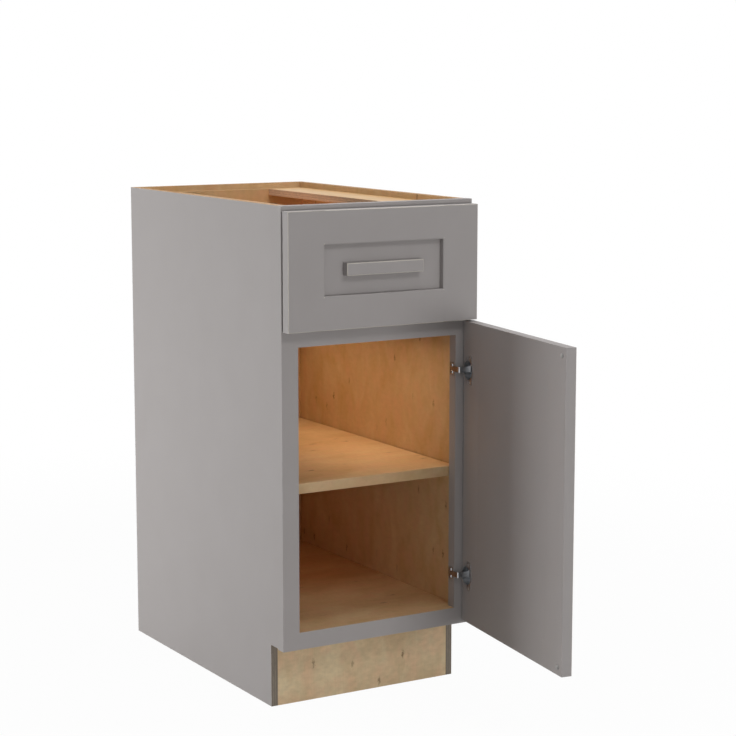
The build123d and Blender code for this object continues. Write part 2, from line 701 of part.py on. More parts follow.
def front_bracket(side):
    """Angle behind the middle rail on which the front of a slide rests."""
    x = sided(side, SLIDE_INNER, SLIDE_OUTER)
    y = (FRAME_BACK_Y, FRAME_BACK_Y + BRACKET_THICKNESS)
    leg = block(x, y, (MIDDLE_RAIL_TOP - FRONT_BRACKET_DROP, SLIDE_BASE))
    foot = block(x, (FRAME_BACK_Y, FRAME_BACK_Y + FRONT_BRACKET_REACH),
                 (SLIDE_BASE - BRACKET_THICKNESS, SLIDE_BASE))
    return cut_all(leg + foot, [pilot("+Y", at, BRACKET_SCREW_LENGTH) for at in bracket_screw_places()])


def rear_bracket(side):
    """Angle on the back panel on which the rear of a slide rests."""
    x = sided(side, SLIDE_INNER, SLIDE_OUTER)
    top = SLIDE_BASE
    leg = block(x, (BACK_INNER_Y - BRACKET_THICKNESS, BACK_INNER_Y), (top - REAR_BRACKET_HEIGHT, top))
    foot = block(x, (SLIDE_REAR_Y - REAR_BRACKET_GRIP, BACK_INNER_Y), (top - BRACKET_THICKNESS, top))
    return cut_all(leg + foot, rear_bracket_pilots(side))


def rear_bracket_screw_places(side):
    """Points on a rear bracket where its screws enter the back panel."""
    z = SLIDE_BASE - REAR_BRACKET_HEIGHT / 2
    centre = SLIDE_INNER + SLIDE_WIDTH / 2
    y = BACK_INNER_Y - BRACKET_THICKNESS
    return [(side * (centre + step), y, z) for step in (-SLIDE_WIDTH / 4, SLIDE_WIDTH / 4)]


def rear_bracket_pilots(side):
    """Holes of a rear bracket's screws."""
    return [pilot("-Y", at, BRACKET_SCREW_LENGTH) for at in rear_bracket_screw_places(side)]


def locking_clip(side):
    """Clip under the drawer, behind its front, that holds a slide's drawer member."""
    member = SLIDE_INNER + 2 * MEMBER_STEP
    body = block(sided(side, member - CLIP_WIDTH, member),
                 (BOX_FRONT_INNER_Y, BOX_FRONT_INNER_Y + CLIP_LENGTH),
                 (FLOOR_UNDERSIDE - CLIP_HEIGHT, FLOOR_UNDERSIDE))
    return chamfer(body.edges().filter_by(Axis.Z), CLIP_HEIGHT / 2)


INSERT_HALF = BOX_INSIDE - INSERT_SIDE_CLEARANCE
INSERT_FRONT_Y = BOX_FRONT_INNER_Y + INSERT_FRONT_CLEARANCE
INSERT_FENCE_Y = INSERT_FRONT_Y + INSERT_TAIL
INSERT_SLAT_Y = INSERT_FENCE_Y + INSERT_FENCE_THICKNESS + INSERT_GAP
INSERT_REAR_Y = INSERT_SLAT_Y + INSERT_SLAT_LENGTH
INSERT_TOP = FLOOR_TOP + INSERT_BASE_THICKNESS
INSERT_SLAT_WIDTH = (2 * INSERT_HALF - (INSERT_SLAT_COUNT - 1) * INSERT_SLOT_WIDTH) / INSERT_SLAT_COUNT


def insert_base():
    """Thin board of the knife insert that lies on the drawer bottom."""
    return block((-INSERT_HALF, INSERT_HALF), (INSERT_FRONT_Y, INSERT_REAR_Y), (FLOOR_TOP, INSERT_TOP))


def insert_fence():
    """Upright strip in front of the slats."""
    return block((-INSERT_HALF, INSERT_HALF), (INSERT_FENCE_Y, INSERT_FENCE_Y + INSERT_FENCE_THICKNESS),
                 (INSERT_TOP, INSERT_TOP + INSERT_FENCE_HEIGHT))


def insert_slat(index):
    """One slat of the knife rack, rounded over at its front top edge."""
    left = -INSERT_HALF + index * (INSERT_SLAT_WIDTH + INSERT_SLOT_WIDTH)
    slat = block((left, left + INSERT_SLAT_WIDTH), (INSERT_SLAT_Y, INSERT_REAR_Y),
                 (INSERT_TOP, INSERT_TOP + INSERT_SLAT_HEIGHT))
    front_top = slat.edges().filter_by(Axis.X).sort_by(Axis.Y)[:2].sort_by(Axis.Z)[-1]
    return fillet(front_top, INSERT_SLAT_ROUNDING)


def all_nodes():
    """Every piece of the cabinet by its name."""
    nodes = {
        "back_panel": back_panel(),
        "bottom_panel": bottom_panel(),
        "toe_kick_board": toe_kick_board(),
        "back_nailer_rail": back_nailer_rail(),
        "adjustable_shelf": shelf(),
        "shelf_pins": group([shelf_pin(side, y) for side, y in shelf_pin_places()]),
    }
    for rail in FRAME_RAILS:
        nodes["frame_" + rail + "_rail"] = frame_rail(rail)
    for name, side in SIDES.items():
        nodes[name + "_side_panel"] = side_panel(side)
        nodes[name + "_top_brace"] = top_brace(side)
        nodes["frame_" + name + "_stile"] = frame_stile(side)
        nodes["drawer_box_" + name + "_side"] = drawer_side(side)
        nodes[name + "_slide_cabinet_member"] = cabinet_member(side)
        nodes[name + "_slide_middle_member"] = middle_member(side)
        nodes[name + "_slide_drawer_member"] = drawer_member(side)

    door = leaf_pieces(DOOR_BASE, DOOR_TOP)
    for z in HINGE_HEIGHTS.values():
        cutters = [cup_bore(z)] + [pilot("+Y", at, CUP_SCREW_LENGTH) for at in cup_screw_places(z)]
        door["right_stile"] = cut_all(door["right_stile"], cutters)
    for name, piece in door.items():
        nodes["door_" + name] = opened(piece)
    bumper_x = -FRONT_HALF + BUMPER_INSET
    nodes["door_bumpers"] = group(
        [opened(bumper(bumper_x, z)) for z in (DOOR_BASE + BUMPER_INSET, DOOR_TOP - BUMPER_INSET)])
    for name, z in HINGE_HEIGHTS.items():
        nodes[name + "_hinge_cup"] = opened(hinge_cup(z))
        nodes[name + "_hinge_arm"] = hinge_arm(z)
    nodes["hinge_pins"] = group([opened(hinge_pin(z)) for z in HINGE_HEIGHTS.values()])
    nodes["hinge_cup_screws"] = group(
        [opened(screw("+Y", at, CUP_SCREW_LENGTH, CUP_SCREW_HEAD_HEIGHT))
         for z in HINGE_HEIGHTS.values() for at in cup_screw_places(z)])
    nodes["hinge_arm_screws"] = group(
        [screw("-X", at, ARM_SCREW_LENGTH) for at in arm_screw_places()])

    front = leaf_pieces(DRAWER_FRONT_BASE, DRAWER_FRONT_TOP)
    for name, piece in front.items():
        nodes["drawer_front_" + name] = cut_all(piece, pull_pilots() + front_pilots())
    bumper_z = DRAWER_FRONT_TOP - BUMPER_INSET
    nodes["drawer_bumpers"] = group(
        [bumper(side * (FRONT_HALF - BUMPER_INSET), bumper_z) for side in SIDES.values()])
    nodes["drawer_pull_bar"] = pull_bar()
    nodes["drawer_pull_screws"] = group(
        [screw("+Y", at, PULL_SCREW_LENGTH) for at in pull_screw_places()])
    nodes["drawer_front_screws"] = group(
        [screw("+Y", at, FRONT_SCREW_LENGTH) for at in front_screw_places()])
    nodes["drawer_box_front"] = drawer_box_front()
    nodes["drawer_box_back"] = drawer_box_back()
    nodes["drawer_box_bottom"] = drawer_floor()
    nodes["drawer_locking_clips"] = group([locking_clip(side) for side in SIDES.values()])

    nodes["slide_front_brackets"] = group([front_bracket(side) for side in SIDES.values()])
    nodes["slide_rear_brackets"] = group([rear_bracket(side) for side in SIDES.values()])
    nodes["slide_front_screws"] = group(
        [screw("+Y", at, BRACKET_SCREW_LENGTH) for at in bracket_screw_places()])
    nodes["slide_rear_screws"] = group(
        [screw("-Y", at, BRACKET_SCREW_LENGTH)
         for side in SIDES.values() for at in rear_bracket_screw_places(side)])
    pilots = [hole for side in SIDES.values() for hole in rear_bracket_pilots(side)]
    nodes["back_panel"] = cut_all(nodes["back_panel"], pilots)

    slats = [insert_slat(index) for index in range(INSERT_SLAT_COUNT)]
    half = INSERT_SLAT_COUNT // 2
    nodes["knife_insert_base"] = insert_base()
    nodes["knife_insert_fence"] = insert_fence()
    nodes["knife_insert_left_slats"] = group(slats[:half])
    nodes["knife_insert_right_slats"] = group(slats[half:])
    return nodes


os.makedirs("parts", exist_ok=True)
for node_name, shape in all_nodes().items():
    export_step(shape, os.path.join("parts", node_name + ".step"))
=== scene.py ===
"""Looks of a framed kitchen base cabinet: satin grey paint outside, clear-coated maple inside.

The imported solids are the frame. Each board is shown as a copy of its solid, eased where the solid
is sharp, that carries grain coordinates of its own. Hardware keeps its solid under a plated finish,
and what repeats is laid out by geometry nodes.
"""

import json
import logging
import math
from dataclasses import dataclass
from enum import Enum
from typing import Any

import bmesh
import bpy
from mathutils import Matrix, Vector


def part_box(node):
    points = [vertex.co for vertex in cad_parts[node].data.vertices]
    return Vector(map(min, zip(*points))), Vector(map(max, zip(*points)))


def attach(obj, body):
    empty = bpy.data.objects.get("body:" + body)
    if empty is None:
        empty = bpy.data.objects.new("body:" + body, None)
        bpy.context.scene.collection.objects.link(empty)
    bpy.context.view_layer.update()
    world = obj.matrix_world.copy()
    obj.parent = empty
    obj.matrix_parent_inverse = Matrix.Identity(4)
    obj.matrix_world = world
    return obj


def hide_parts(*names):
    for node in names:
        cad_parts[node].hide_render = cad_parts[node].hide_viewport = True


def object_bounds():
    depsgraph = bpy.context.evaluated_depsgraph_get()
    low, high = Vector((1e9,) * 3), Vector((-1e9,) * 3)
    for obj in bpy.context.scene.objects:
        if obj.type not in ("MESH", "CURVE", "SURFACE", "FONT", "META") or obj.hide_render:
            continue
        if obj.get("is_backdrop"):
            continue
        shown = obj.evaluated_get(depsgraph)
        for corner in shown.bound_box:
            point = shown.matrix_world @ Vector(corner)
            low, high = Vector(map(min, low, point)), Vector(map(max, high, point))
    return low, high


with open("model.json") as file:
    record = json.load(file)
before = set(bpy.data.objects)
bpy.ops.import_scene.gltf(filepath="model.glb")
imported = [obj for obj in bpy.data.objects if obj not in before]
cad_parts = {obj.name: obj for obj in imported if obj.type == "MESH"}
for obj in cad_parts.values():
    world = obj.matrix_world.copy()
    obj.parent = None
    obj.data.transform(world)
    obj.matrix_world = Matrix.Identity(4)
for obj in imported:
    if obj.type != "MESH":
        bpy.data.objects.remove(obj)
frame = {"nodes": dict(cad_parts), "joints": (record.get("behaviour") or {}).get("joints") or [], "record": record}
CAD_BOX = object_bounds()

Node = bpy.types.Node
Socket = bpy.types.NodeSocket
Tree = bpy.types.NodeTree
Outline = tuple[tuple[float, float], ...]

LOG = logging.getLogger("cabinet")
MM = 0.001
SIDES = ("left", "right")

# Attributes that the finishes read
GRAIN = "grain"
# faces marked with this get a painted highlight: paler paint on eased edges
EDGE_HIGHLIGHT = "painted_edge_highlight"

# How boards are read and shaded
WELD = 0.001 * MM
LEVEL_ANGLE = math.radians(0.3)  # faces that meet at less than this are one face
SHARP_ANGLE = math.radians(50)  # edges at more than this are eased
SMOOTH_ANGLE = math.radians(40)  # edges at less than this are shaded smooth
LONG_EDGE = 12  # widths of the easing that an eased edge is longer than
SQUARE_ON = 0.71  # cosine of the angle up to which a face looks along an axis
FLAT = 0.99  # the same for a face that is no part of an eased edge
# eased faces narrower than this get the painted edge highlight
EDGE_HIGHLIGHT_WIDTH = 1.6 * MM
FIGURE_STEP = (1.37, 0.73)  # metres along and across the grain from one board's figure to the next
SLAT_STEP = 0.31  # the same along a slat
ONE_WAVE = math.tau / 20.0  # scale at which Blender's wave texture repeats once a metre
COLOUR_OUTPUT = 1  # of Blender's noise texture, next to its value


class Way(Enum):
    """Axis of the cabinet along which something runs."""

    X = 0
    Y = 1
    Z = 2


# Finishes


def linear(code: str) -> tuple[float, float, float, float]:
    """Turn an sRGB hex colour into linear light.

    Args:
        code: six hex digits after a hash sign.

    Returns:
        Red, green, blue and an alpha of 1.
    """
    parts = [int(code[at:at + 2], 16) / 255.0 for at in (1, 3, 5)]
    light = [p / 12.92 if p <= 0.04045 else ((p + 0.055) / 1.055) ** 2.4 for p in parts]
    return (*light, 1.0)


def cleared(owner: bpy.types.Material | bpy.types.World) -> Tree:
    """Empty node tree of a material or of the world."""
    owner.use_nodes = True
    owner.node_tree.nodes.clear()
    return owner.node_tree


def add(tree: Tree, kind: str, sockets: dict[Any, Any] | None = None, **settings: Any) -> Node:
    """Add a node with its settings, its socket values and its links.

    Args:
        tree: node tree that gets the node.
        kind: Blender's type name of the node.
        sockets: input name or number to a value, or to the output socket that feeds it.
        **settings: attributes of the node itself.

    Returns:
        The new node.
    """
    node = tree.nodes.new(kind)
    for name, value in settings.items():
        setattr(node, name, value)
    for key, value in (sockets or {}).items():
        if isinstance(value, Socket):
            tree.links.new(value, node.inputs[key])
        else:
            node.inputs[key].default_value = value
    return node


def maths(tree: Tree, operation: str, *values: float | Socket) -> Socket:
    """Result of one operation on numbers and on outputs of other nodes."""
    return add(tree, "ShaderNodeMath", dict(enumerate(values)), operation=operation).outputs[0]


def stretched(tree: Tree, source: Socket, size: tuple[float, float, float]) -> Socket:
    """Coordinates in which a cell of the given size in metres becomes a unit cube."""
    scale = tuple(1.0 / length for length in size)
    return add(tree, "ShaderNodeVectorMath", {0: source, 1: scale}, operation="MULTIPLY").outputs[0]


def noise(tree: Tree, place: Socket, size: tuple[float, float, float], output: int = 0,
          **sockets: float) -> Socket:
    """Noise with cells of a given size in metres; the other inputs go by their names."""
    return add(tree, "ShaderNodeTexNoise", {
        "Vector": stretched(tree, place, size), "Scale": 1.0, **sockets}).outputs[output]


def ranged(tree: Tree, value: Socket, low: float, high: float,
           given: tuple[float, float] = (0.0, 1.0), **settings: Any) -> Socket:
    """Value brought from a given range into the one from low to high."""
    sockets = {"Value": value, "From Min": given[0], "From Max": given[1], "To Min": low, "To Max": high}
    return add(tree, "ShaderNodeMapRange", sockets, **settings).outputs[0]


def around(tree: Tree, pattern: Socket, middle: float, change: float) -> Socket:
    """Value that follows a pattern from below a middle to above it."""
    return ranged(tree, pattern, middle - change, middle + change)


def blend(tree: Tree, share: Socket, first: str | Socket, second: str | Socket) -> Socket:
    """Mix of two colours, each a hex code or the output of a node, by the share of the second."""
    ends = [linear(colour) if isinstance(colour, str) else colour for colour in (first, second)]
    return add(tree, "ShaderNodeMix", {0: share, 6: ends[0], 7: ends[1]}, data_type="RGBA").outputs[2]


def dimmed(tree: Tree, colour: Socket, level: Socket) -> Socket:
    """Colour made darker or lighter by a factor."""
    return add(tree, "ShaderNodeVectorMath", {0: colour, "Scale": level}, operation="SCALE").outputs[0]


def relief(tree: Tree, height: Socket, strength: float, depth: float) -> Socket:
    """Normals bumped by a pattern of a given depth in metres."""
    return add(tree, "ShaderNodeBump", {
        "Height": height, "Strength": strength, "Distance": depth}).outputs[0]


class Finish:
    """A surface finish, made into a node material the first time it is needed."""

    name: str

    def shade(self, tree: Tree) -> dict[str, Any]:
        """Add the nodes of the finish's pattern.

        Args:
            tree: the material's node tree.

        Returns:
            What goes into the inputs of the principled shader.
        """
        raise NotImplementedError

    def material(self) -> bpy.types.Material:
        """Build the material of this finish once.

        Returns:
            The material, the same one for every board.
        """
        known = bpy.data.materials.get(self.name)
        if known:
            return known
        made = bpy.data.materials.new(self.name)
        tree = cleared(made)
        shader = add(tree, "ShaderNodeBsdfPrincipled", self.shade(tree))
        add(tree, "ShaderNodeOutputMaterial", {"Surface": shader.outputs[0]})
        return made


@dataclass(frozen=True)
class SprayedPaint(Finish):
    """Catalysed satin paint sprayed on sealed maple.

    The eye sees an even soft grey and a very fine orange peel in the gloss. Eased edges get a
    slightly paler line of paint, a painted highlight in place of the light that they catch.
    """

    name: str = "satin_sprayed_paint_on_maple"
    colour: str = "#A5A09F"
    cloud_colour: str = "#A09B99"
    # painted highlight: paler paint on eased edges, in place of the light that catches them
    edge_highlight_colour: str = "#C6C0B7"
    cloud_size: float = 85 * MM
    peel_size: float = 2.2 * MM  # real peel is about 1 mm, drawn coarser so that it shows
    peel_gloss: float = 0.05
    roughness: float = 0.62
    index: float = 1.48
    shine: float = 0.25

    def shade(self, tree: Tree) -> dict[str, Any]:
        """Add clouded colour, a painted highlight on eased edges and orange peel in the gloss."""
        place = add(tree, "ShaderNodeTexCoord").outputs["Object"]
        cloud = noise(tree, place, (self.cloud_size,) * 3, Detail=3.0)
        peel = noise(tree, place, (self.peel_size,) * 3, Detail=1.5)
        painted_edge_highlight = add(tree, "ShaderNodeAttribute", attribute_name=EDGE_HIGHLIGHT).outputs["Fac"]
        body = blend(tree, cloud, self.colour, self.cloud_colour)
        return {
            # eased faces take the painted highlight colour
            "Base Color": blend(tree, painted_edge_highlight, body, self.edge_highlight_colour),
            "Roughness": around(tree, peel, self.roughness, self.peel_gloss),
            "Normal": relief(tree, peel, strength=0.12, depth=0.1 * MM),
            "IOR": self.index, "Specular IOR Level": self.shine}


@dataclass(frozen=True)
class ClearMaple(Finish):
    """Maple under a thin clear coat, sliced as veneer or sawn as boards.

    The eye sees a pale tan ground with soft rosy clouds, a fine mottle, faint fibres along the grain
    and short brown flecks here and there. A span is the range of the noise that a change takes up.
    """

    name: str
    pale: str
    deep: str
    blush: str
    fleck: str = "#6E5236"
    figure_length: float = 95 * MM
    figure_width: float = 48 * MM
    figure_span: tuple[float, float] = (0.3, 0.7)
    blotch_size: float = 24 * MM
    blotch_stretch: float = 1.5
    blotch_span: tuple[float, float] = (0.42, 0.7)
    blotch_depth: float = 0.75
    fibre_width: float = 1.6 * MM  # fibres are finer, drawn coarser so that they show
    fibre_stretch: float = 45.0
    fibre_share: float = 0.3
    fibre_gloss: float = 0.07
    mottle_size: float = 8 * MM
    mottle_stretch: float = 1.8
    mottle_span: tuple[float, float] = (0.4, 0.9)
    mottle_depth: float = 0.06
    mottle_lift: float = 0.8
    fleck_spacing: float = 44 * MM
    fleck_stretch: float = 3.0
    fleck_length: float = 11 * MM
    fleck_core: float = 0.01
    fleck_raggedness: float = 2.2
    fleck_depth: float = 0.85
    fleck_share: float = 0.62
    roughness: float = 0.42
    shine: float = 0.3

    def shade(self, tree: Tree) -> dict[str, Any]:
        """Add figure, blotches, mottle, fibres and flecks along the board's own grain."""
        grain = add(tree, "ShaderNodeAttribute", attribute_name=GRAIN).outputs["Vector"]
        wide, large = self.figure_width, self.blotch_size
        fine, small = self.fibre_width, self.mottle_size
        figure = noise(tree, grain, (self.figure_length, wide, wide),
                       Detail=3.0, Roughness=0.5, Distortion=0.7)
        clouds = noise(tree, grain, (self.blotch_stretch * large, large, large), Detail=2.0)
        fibre = noise(tree, grain, (self.fibre_stretch * fine, fine, fine), Detail=2.0)
        mottle = noise(tree, grain, (small, self.mottle_stretch * small, small),
                       Detail=3.0, Roughness=0.6)
        tone = blend(tree, ranged(tree, figure, 0.0, 1.0, self.figure_span), self.pale, self.deep)
        rosy = ranged(tree, clouds, 0.0, self.blotch_depth, self.blotch_span)
        ripple = maths(tree, "MULTIPLY_ADD", fibre, self.fibre_share, mottle)
        lines = ranged(tree, ripple, 1.0 - self.mottle_depth, 1.0 + self.mottle_lift * self.mottle_depth,
                       self.mottle_span)
        wood = dimmed(tree, blend(tree, rosy, tone, self.blush), lines)
        return {
            "Base Color": blend(tree, self.flecks(tree, grain), wood, self.fleck),
            "Roughness": around(tree, fibre, self.roughness, self.fibre_gloss),
            "Normal": relief(tree, fibre, strength=0.15, depth=0.15 * MM),
            "Specular IOR Level": self.shine}

    def flecks(self, tree: Tree, grain: Socket) -> Socket:
        """Scatter short brown flecks along the grain, some of them faint.

        Args:
            tree: the material's node tree.
            grain: place in the board's grain, in metres.

        Returns:
            Share of the fleck's colour, 0 in clear wood.
        """
        spacing = self.fleck_spacing
        length = self.fleck_stretch * spacing
        ragged = noise(tree, grain, (self.fleck_length,) * 3, COLOUR_OUTPUT,
                       Scale=self.fleck_raggedness, Detail=2.0)
        strayed = add(tree, "ShaderNodeVectorMath", {
            0: ragged, 1: (self.fleck_length,) * 3, 2: grain}, operation="MULTIPLY_ADD")
        cell = add(tree, "ShaderNodeTexVoronoi", {
            "Vector": stretched(tree, strayed.outputs[0], (length, spacing, spacing)), "Scale": 1.0},
            voronoi_dimensions="2D")
        core = ranged(tree, cell.outputs["Distance"], self.fleck_depth, 0.0,
                      (self.fleck_core, self.fleck_length / length), interpolation_type="SMOOTHSTEP")
        pick = add(tree, "ShaderNodeSeparateColor", {"Color": cell.outputs["Color"]})
        chosen = maths(tree, "LESS_THAN", pick.outputs[0], self.fleck_share)
        return maths(tree, "MULTIPLY", maths(tree, "MULTIPLY", core, pick.outputs[1]), chosen)


@dataclass(frozen=True)
class PlywoodEdge(Finish):
    """Sawn edge of maple plywood: thin plies, light along the grain and brown across it."""

    name: str
    long_ply: str
    cross_ply: str
    glue_pair: float = 4.2 * MM  # two plies, so that the layers show
    ply_span: tuple[float, float] = (0.35, 0.65)
    saw_mark: float = 1.4 * MM
    saw_stretch: float = 6.0
    saw_span: tuple[float, float] = (0.3, 0.7)
    saw_levels: tuple[float, float] = (0.82, 1.1)
    roughness: float = 0.62

    def shade(self, tree: Tree) -> dict[str, Any]:
        """Add plies across the thickness, broken up by saw marks."""
        grain = add(tree, "ShaderNodeAttribute", attribute_name=GRAIN).outputs["Vector"]
        plies = add(tree, "ShaderNodeTexWave", {
            "Vector": grain, "Scale": ONE_WAVE / self.glue_pair, "Distortion": 0.6,
            "Detail": 2.0, "Detail Scale": 3.0, "Phase Offset": 1.2},
            wave_type="BANDS", bands_direction="Z")
        long = self.saw_stretch * self.saw_mark
        marks = noise(tree, grain, (long, long, self.saw_mark), Detail=3.0)
        share = ranged(tree, plies.outputs["Fac"], 0.0, 1.0, self.ply_span)
        layer = blend(tree, share, self.cross_ply, self.long_ply)
        return {
            "Base Color": dimmed(tree, layer, ranged(tree, marks, *self.saw_levels, self.saw_span)),
            "Normal": relief(tree, marks, strength=0.3, depth=0.2 * MM),
            "Roughness": self.roughness}


@dataclass(frozen=True)
class MapleEndGrain(Finish):
    """Cross-cut end of a maple board: darker, with fine growth rings."""

    name: str = "cross_cut_maple"
    early: str = "#B98F5E"
    late: str = "#98704A"
    ring_width: float = 2.6 * MM
    pore_gloss: float = 0.1
    roughness: float = 0.55

    def shade(self, tree: Tree) -> dict[str, Any]:
        """Add curved rings across the end, with pores in the gloss."""
        grain = add(tree, "ShaderNodeAttribute", attribute_name=GRAIN).outputs["Vector"]
        rings = add(tree, "ShaderNodeTexWave", {
            "Vector": grain, "Scale": ONE_WAVE / self.ring_width, "Distortion": 3.0,
            "Detail": 2.0, "Detail Scale": 0.6}, wave_type="RINGS", rings_direction="X")
        pores = noise(tree, grain, (self.ring_width / 2,) * 3)
        return {
            "Base Color": blend(tree, rings.outputs["Fac"], self.early, self.late),
            "Roughness": around(tree, pores, self.roughness, self.pore_gloss),
            "Normal": relief(tree, pores, strength=0.2, depth=0.1 * MM)}


@dataclass(frozen=True)
class PlatedSteel(Finish):
    """Pressed steel under a thin bright plate: cool grey, cloudy gloss, fine drawing lines."""

    name: str
    bright: str
    dull: str
    roughness: float
    cloud_size: float = 9 * MM
    cloud_gloss: tuple[float, float] = (-0.08, 0.1)
    draw_width: float = 0.7 * MM
    draw_stretch: float = 30.0

    def shade(self, tree: Tree) -> dict[str, Any]:
        """Add clouds in colour and gloss, with drawing lines in the relief."""
        place = add(tree, "ShaderNodeTexCoord").outputs["Object"]
        cloud = noise(tree, place, (self.cloud_size,) * 3, Detail=3.0)
        fine = self.draw_width
        lines = noise(tree, place, (fine, self.draw_stretch * fine, fine))
        return {
            "Base Color": blend(tree, cloud, self.bright, self.dull),
            "Roughness": ranged(tree, cloud, *(self.roughness + change for change in self.cloud_gloss)),
            "Normal": relief(tree, lines, strength=0.08, depth=0.05 * MM),
            "Metallic": 1.0}


@dataclass(frozen=True)
class MouldedPlastic(Finish):
    """Moulded plastic: an even colour with a fine spark-eroded grain, clear if it lets light through."""

    name: str
    colour: str
    shadow: str
    roughness: float
    clearness: float = 0.0
    index: float = 1.5
    grain_size: float = 0.8 * MM
    grain_gloss: float = 0.06

    def shade(self, tree: Tree) -> dict[str, Any]:
        """Add a fine grain in colour, gloss and relief."""
        place = add(tree, "ShaderNodeTexCoord").outputs["Object"]
        speck = noise(tree, place, (self.grain_size,) * 3, Detail=2.0)
        return {
            "Base Color": blend(tree, speck, self.colour, self.shadow),
            "Roughness": around(tree, speck, self.roughness, self.grain_gloss),
            "Normal": relief(tree, speck, strength=0.1, depth=0.05 * MM),
            "IOR": self.index, "Transmission Weight": self.clearness}


PAINT = SprayedPaint()
VENEER = ClearMaple("clear_coated_maple_veneer", pale="#DCBF94", deep="#CBA877", blush="#D9B189")
# toe board veneer: unsealed and more mottled, and paler than the inside veneer as painted light for the dim toe
# space
UNSEALED_PAINTED_LIGHT_VENEER = ClearMaple("unsealed_maple_veneer_with_painted_light", pale="#DFCBA5", deep="#CFB48D", blush="#DFBC98",
                         mottle_depth=0.11, roughness=0.55)
EDGE_BAND = ClearMaple("clear_coated_maple_edge_band", pale="#C4A982", deep="#B39266", blush="#C19B77")
AMBERED_VENEER = ClearMaple("ambered_maple_veneer", pale="#D3B07C", deep="#C49C67", blush="#CFA473")
SAWN = ClearMaple("clear_coated_sawn_maple", pale="#E2C597", deep="#D2B17E", blush="#DDB98B",
                  figure_length=190 * MM, figure_width=24 * MM, fleck_share=0.2)
PLY_EDGE = PlywoodEdge("sawn_maple_plywood_edge", long_ply="#BB9362", cross_ply="#9B724A")
PALE_EDGE = PlywoodEdge("sanded_maple_plywood_edge", long_ply="#D9C0A6", cross_ply="#CCB199")
SEALED_EDGE = PlywoodEdge("paint_sealed_plywood_edge", long_ply="#857A6D", cross_ply="#746A5D")
END_GRAIN = MapleEndGrain()
ZINC = PlatedSteel("zinc_plated_pressed_steel", bright="#BFC3C6", dull="#9CA1A6", roughness=0.36)
NICKEL = PlatedSteel("nickel_plated_pressed_steel", bright="#C6C7C8", dull="#9C9FA3", roughness=0.32)
SCREW_STEEL = PlatedSteel("zinc_plated_screw_steel", bright="#B9BABA", dull="#8E9092", roughness=0.3,
                          cloud_size=3 * MM)
CLEAR_BUMPER = MouldedPlastic("clear_cast_polyurethane", colour="#B9B7B5", shadow="#ADABA9",
                              roughness=0.5, clearness=0.12, index=1.3)
CLIP_NYLON = MouldedPlastic("moulded_grey_nylon", colour="#5D6064", shadow="#4C4F53", roughness=0.5)


# Boards


@dataclass(frozen=True)
class Cladding:
    """Finishes of a board: its low and high face, its long edges and its ends."""

    low: Finish
    high: Finish
    edge: Finish
    end: Finish


PAINTED = Cladding(PAINT, PAINT, PAINT, PAINT)
PLYWOOD = Cladding(VENEER, VENEER, PLY_EDGE, PLY_EDGE)
# toe board: its paler veneer is partly painted light
UNSEALED_PAINTED_LIGHT = Cladding(UNSEALED_PAINTED_LIGHT_VENEER, UNSEALED_PAINTED_LIGHT_VENEER, PLY_EDGE, PLY_EDGE)
SANDED = Cladding(AMBERED_VENEER, AMBERED_VENEER, PALE_EDGE, PALE_EDGE)
BANDED = Cladding(VENEER, VENEER, EDGE_BAND, PLY_EDGE)
SOLID = Cladding(SAWN, SAWN, SAWN, END_GRAIN)


@dataclass(frozen=True)
class Board:
    """One board: the solid it stands for, the way of its grain and of its thickness, its finishes.

    The easing is how much its long sharp edges are taken off. The top is the finish of the faces
    that look up, where they have one of their own.
    """

    node: str
    grain: Way
    through: Way
    cladding: Cladding
    easing: float = 0.0
    top: Finish | None = None


def put(name: str, data: bpy.types.ID) -> bpy.types.Object:
    """New object in the scene, at the origin, for a mesh, a lamp or a camera."""
    thing = bpy.data.objects.new(name, data)
    bpy.context.scene.collection.objects.link(thing)
    return thing


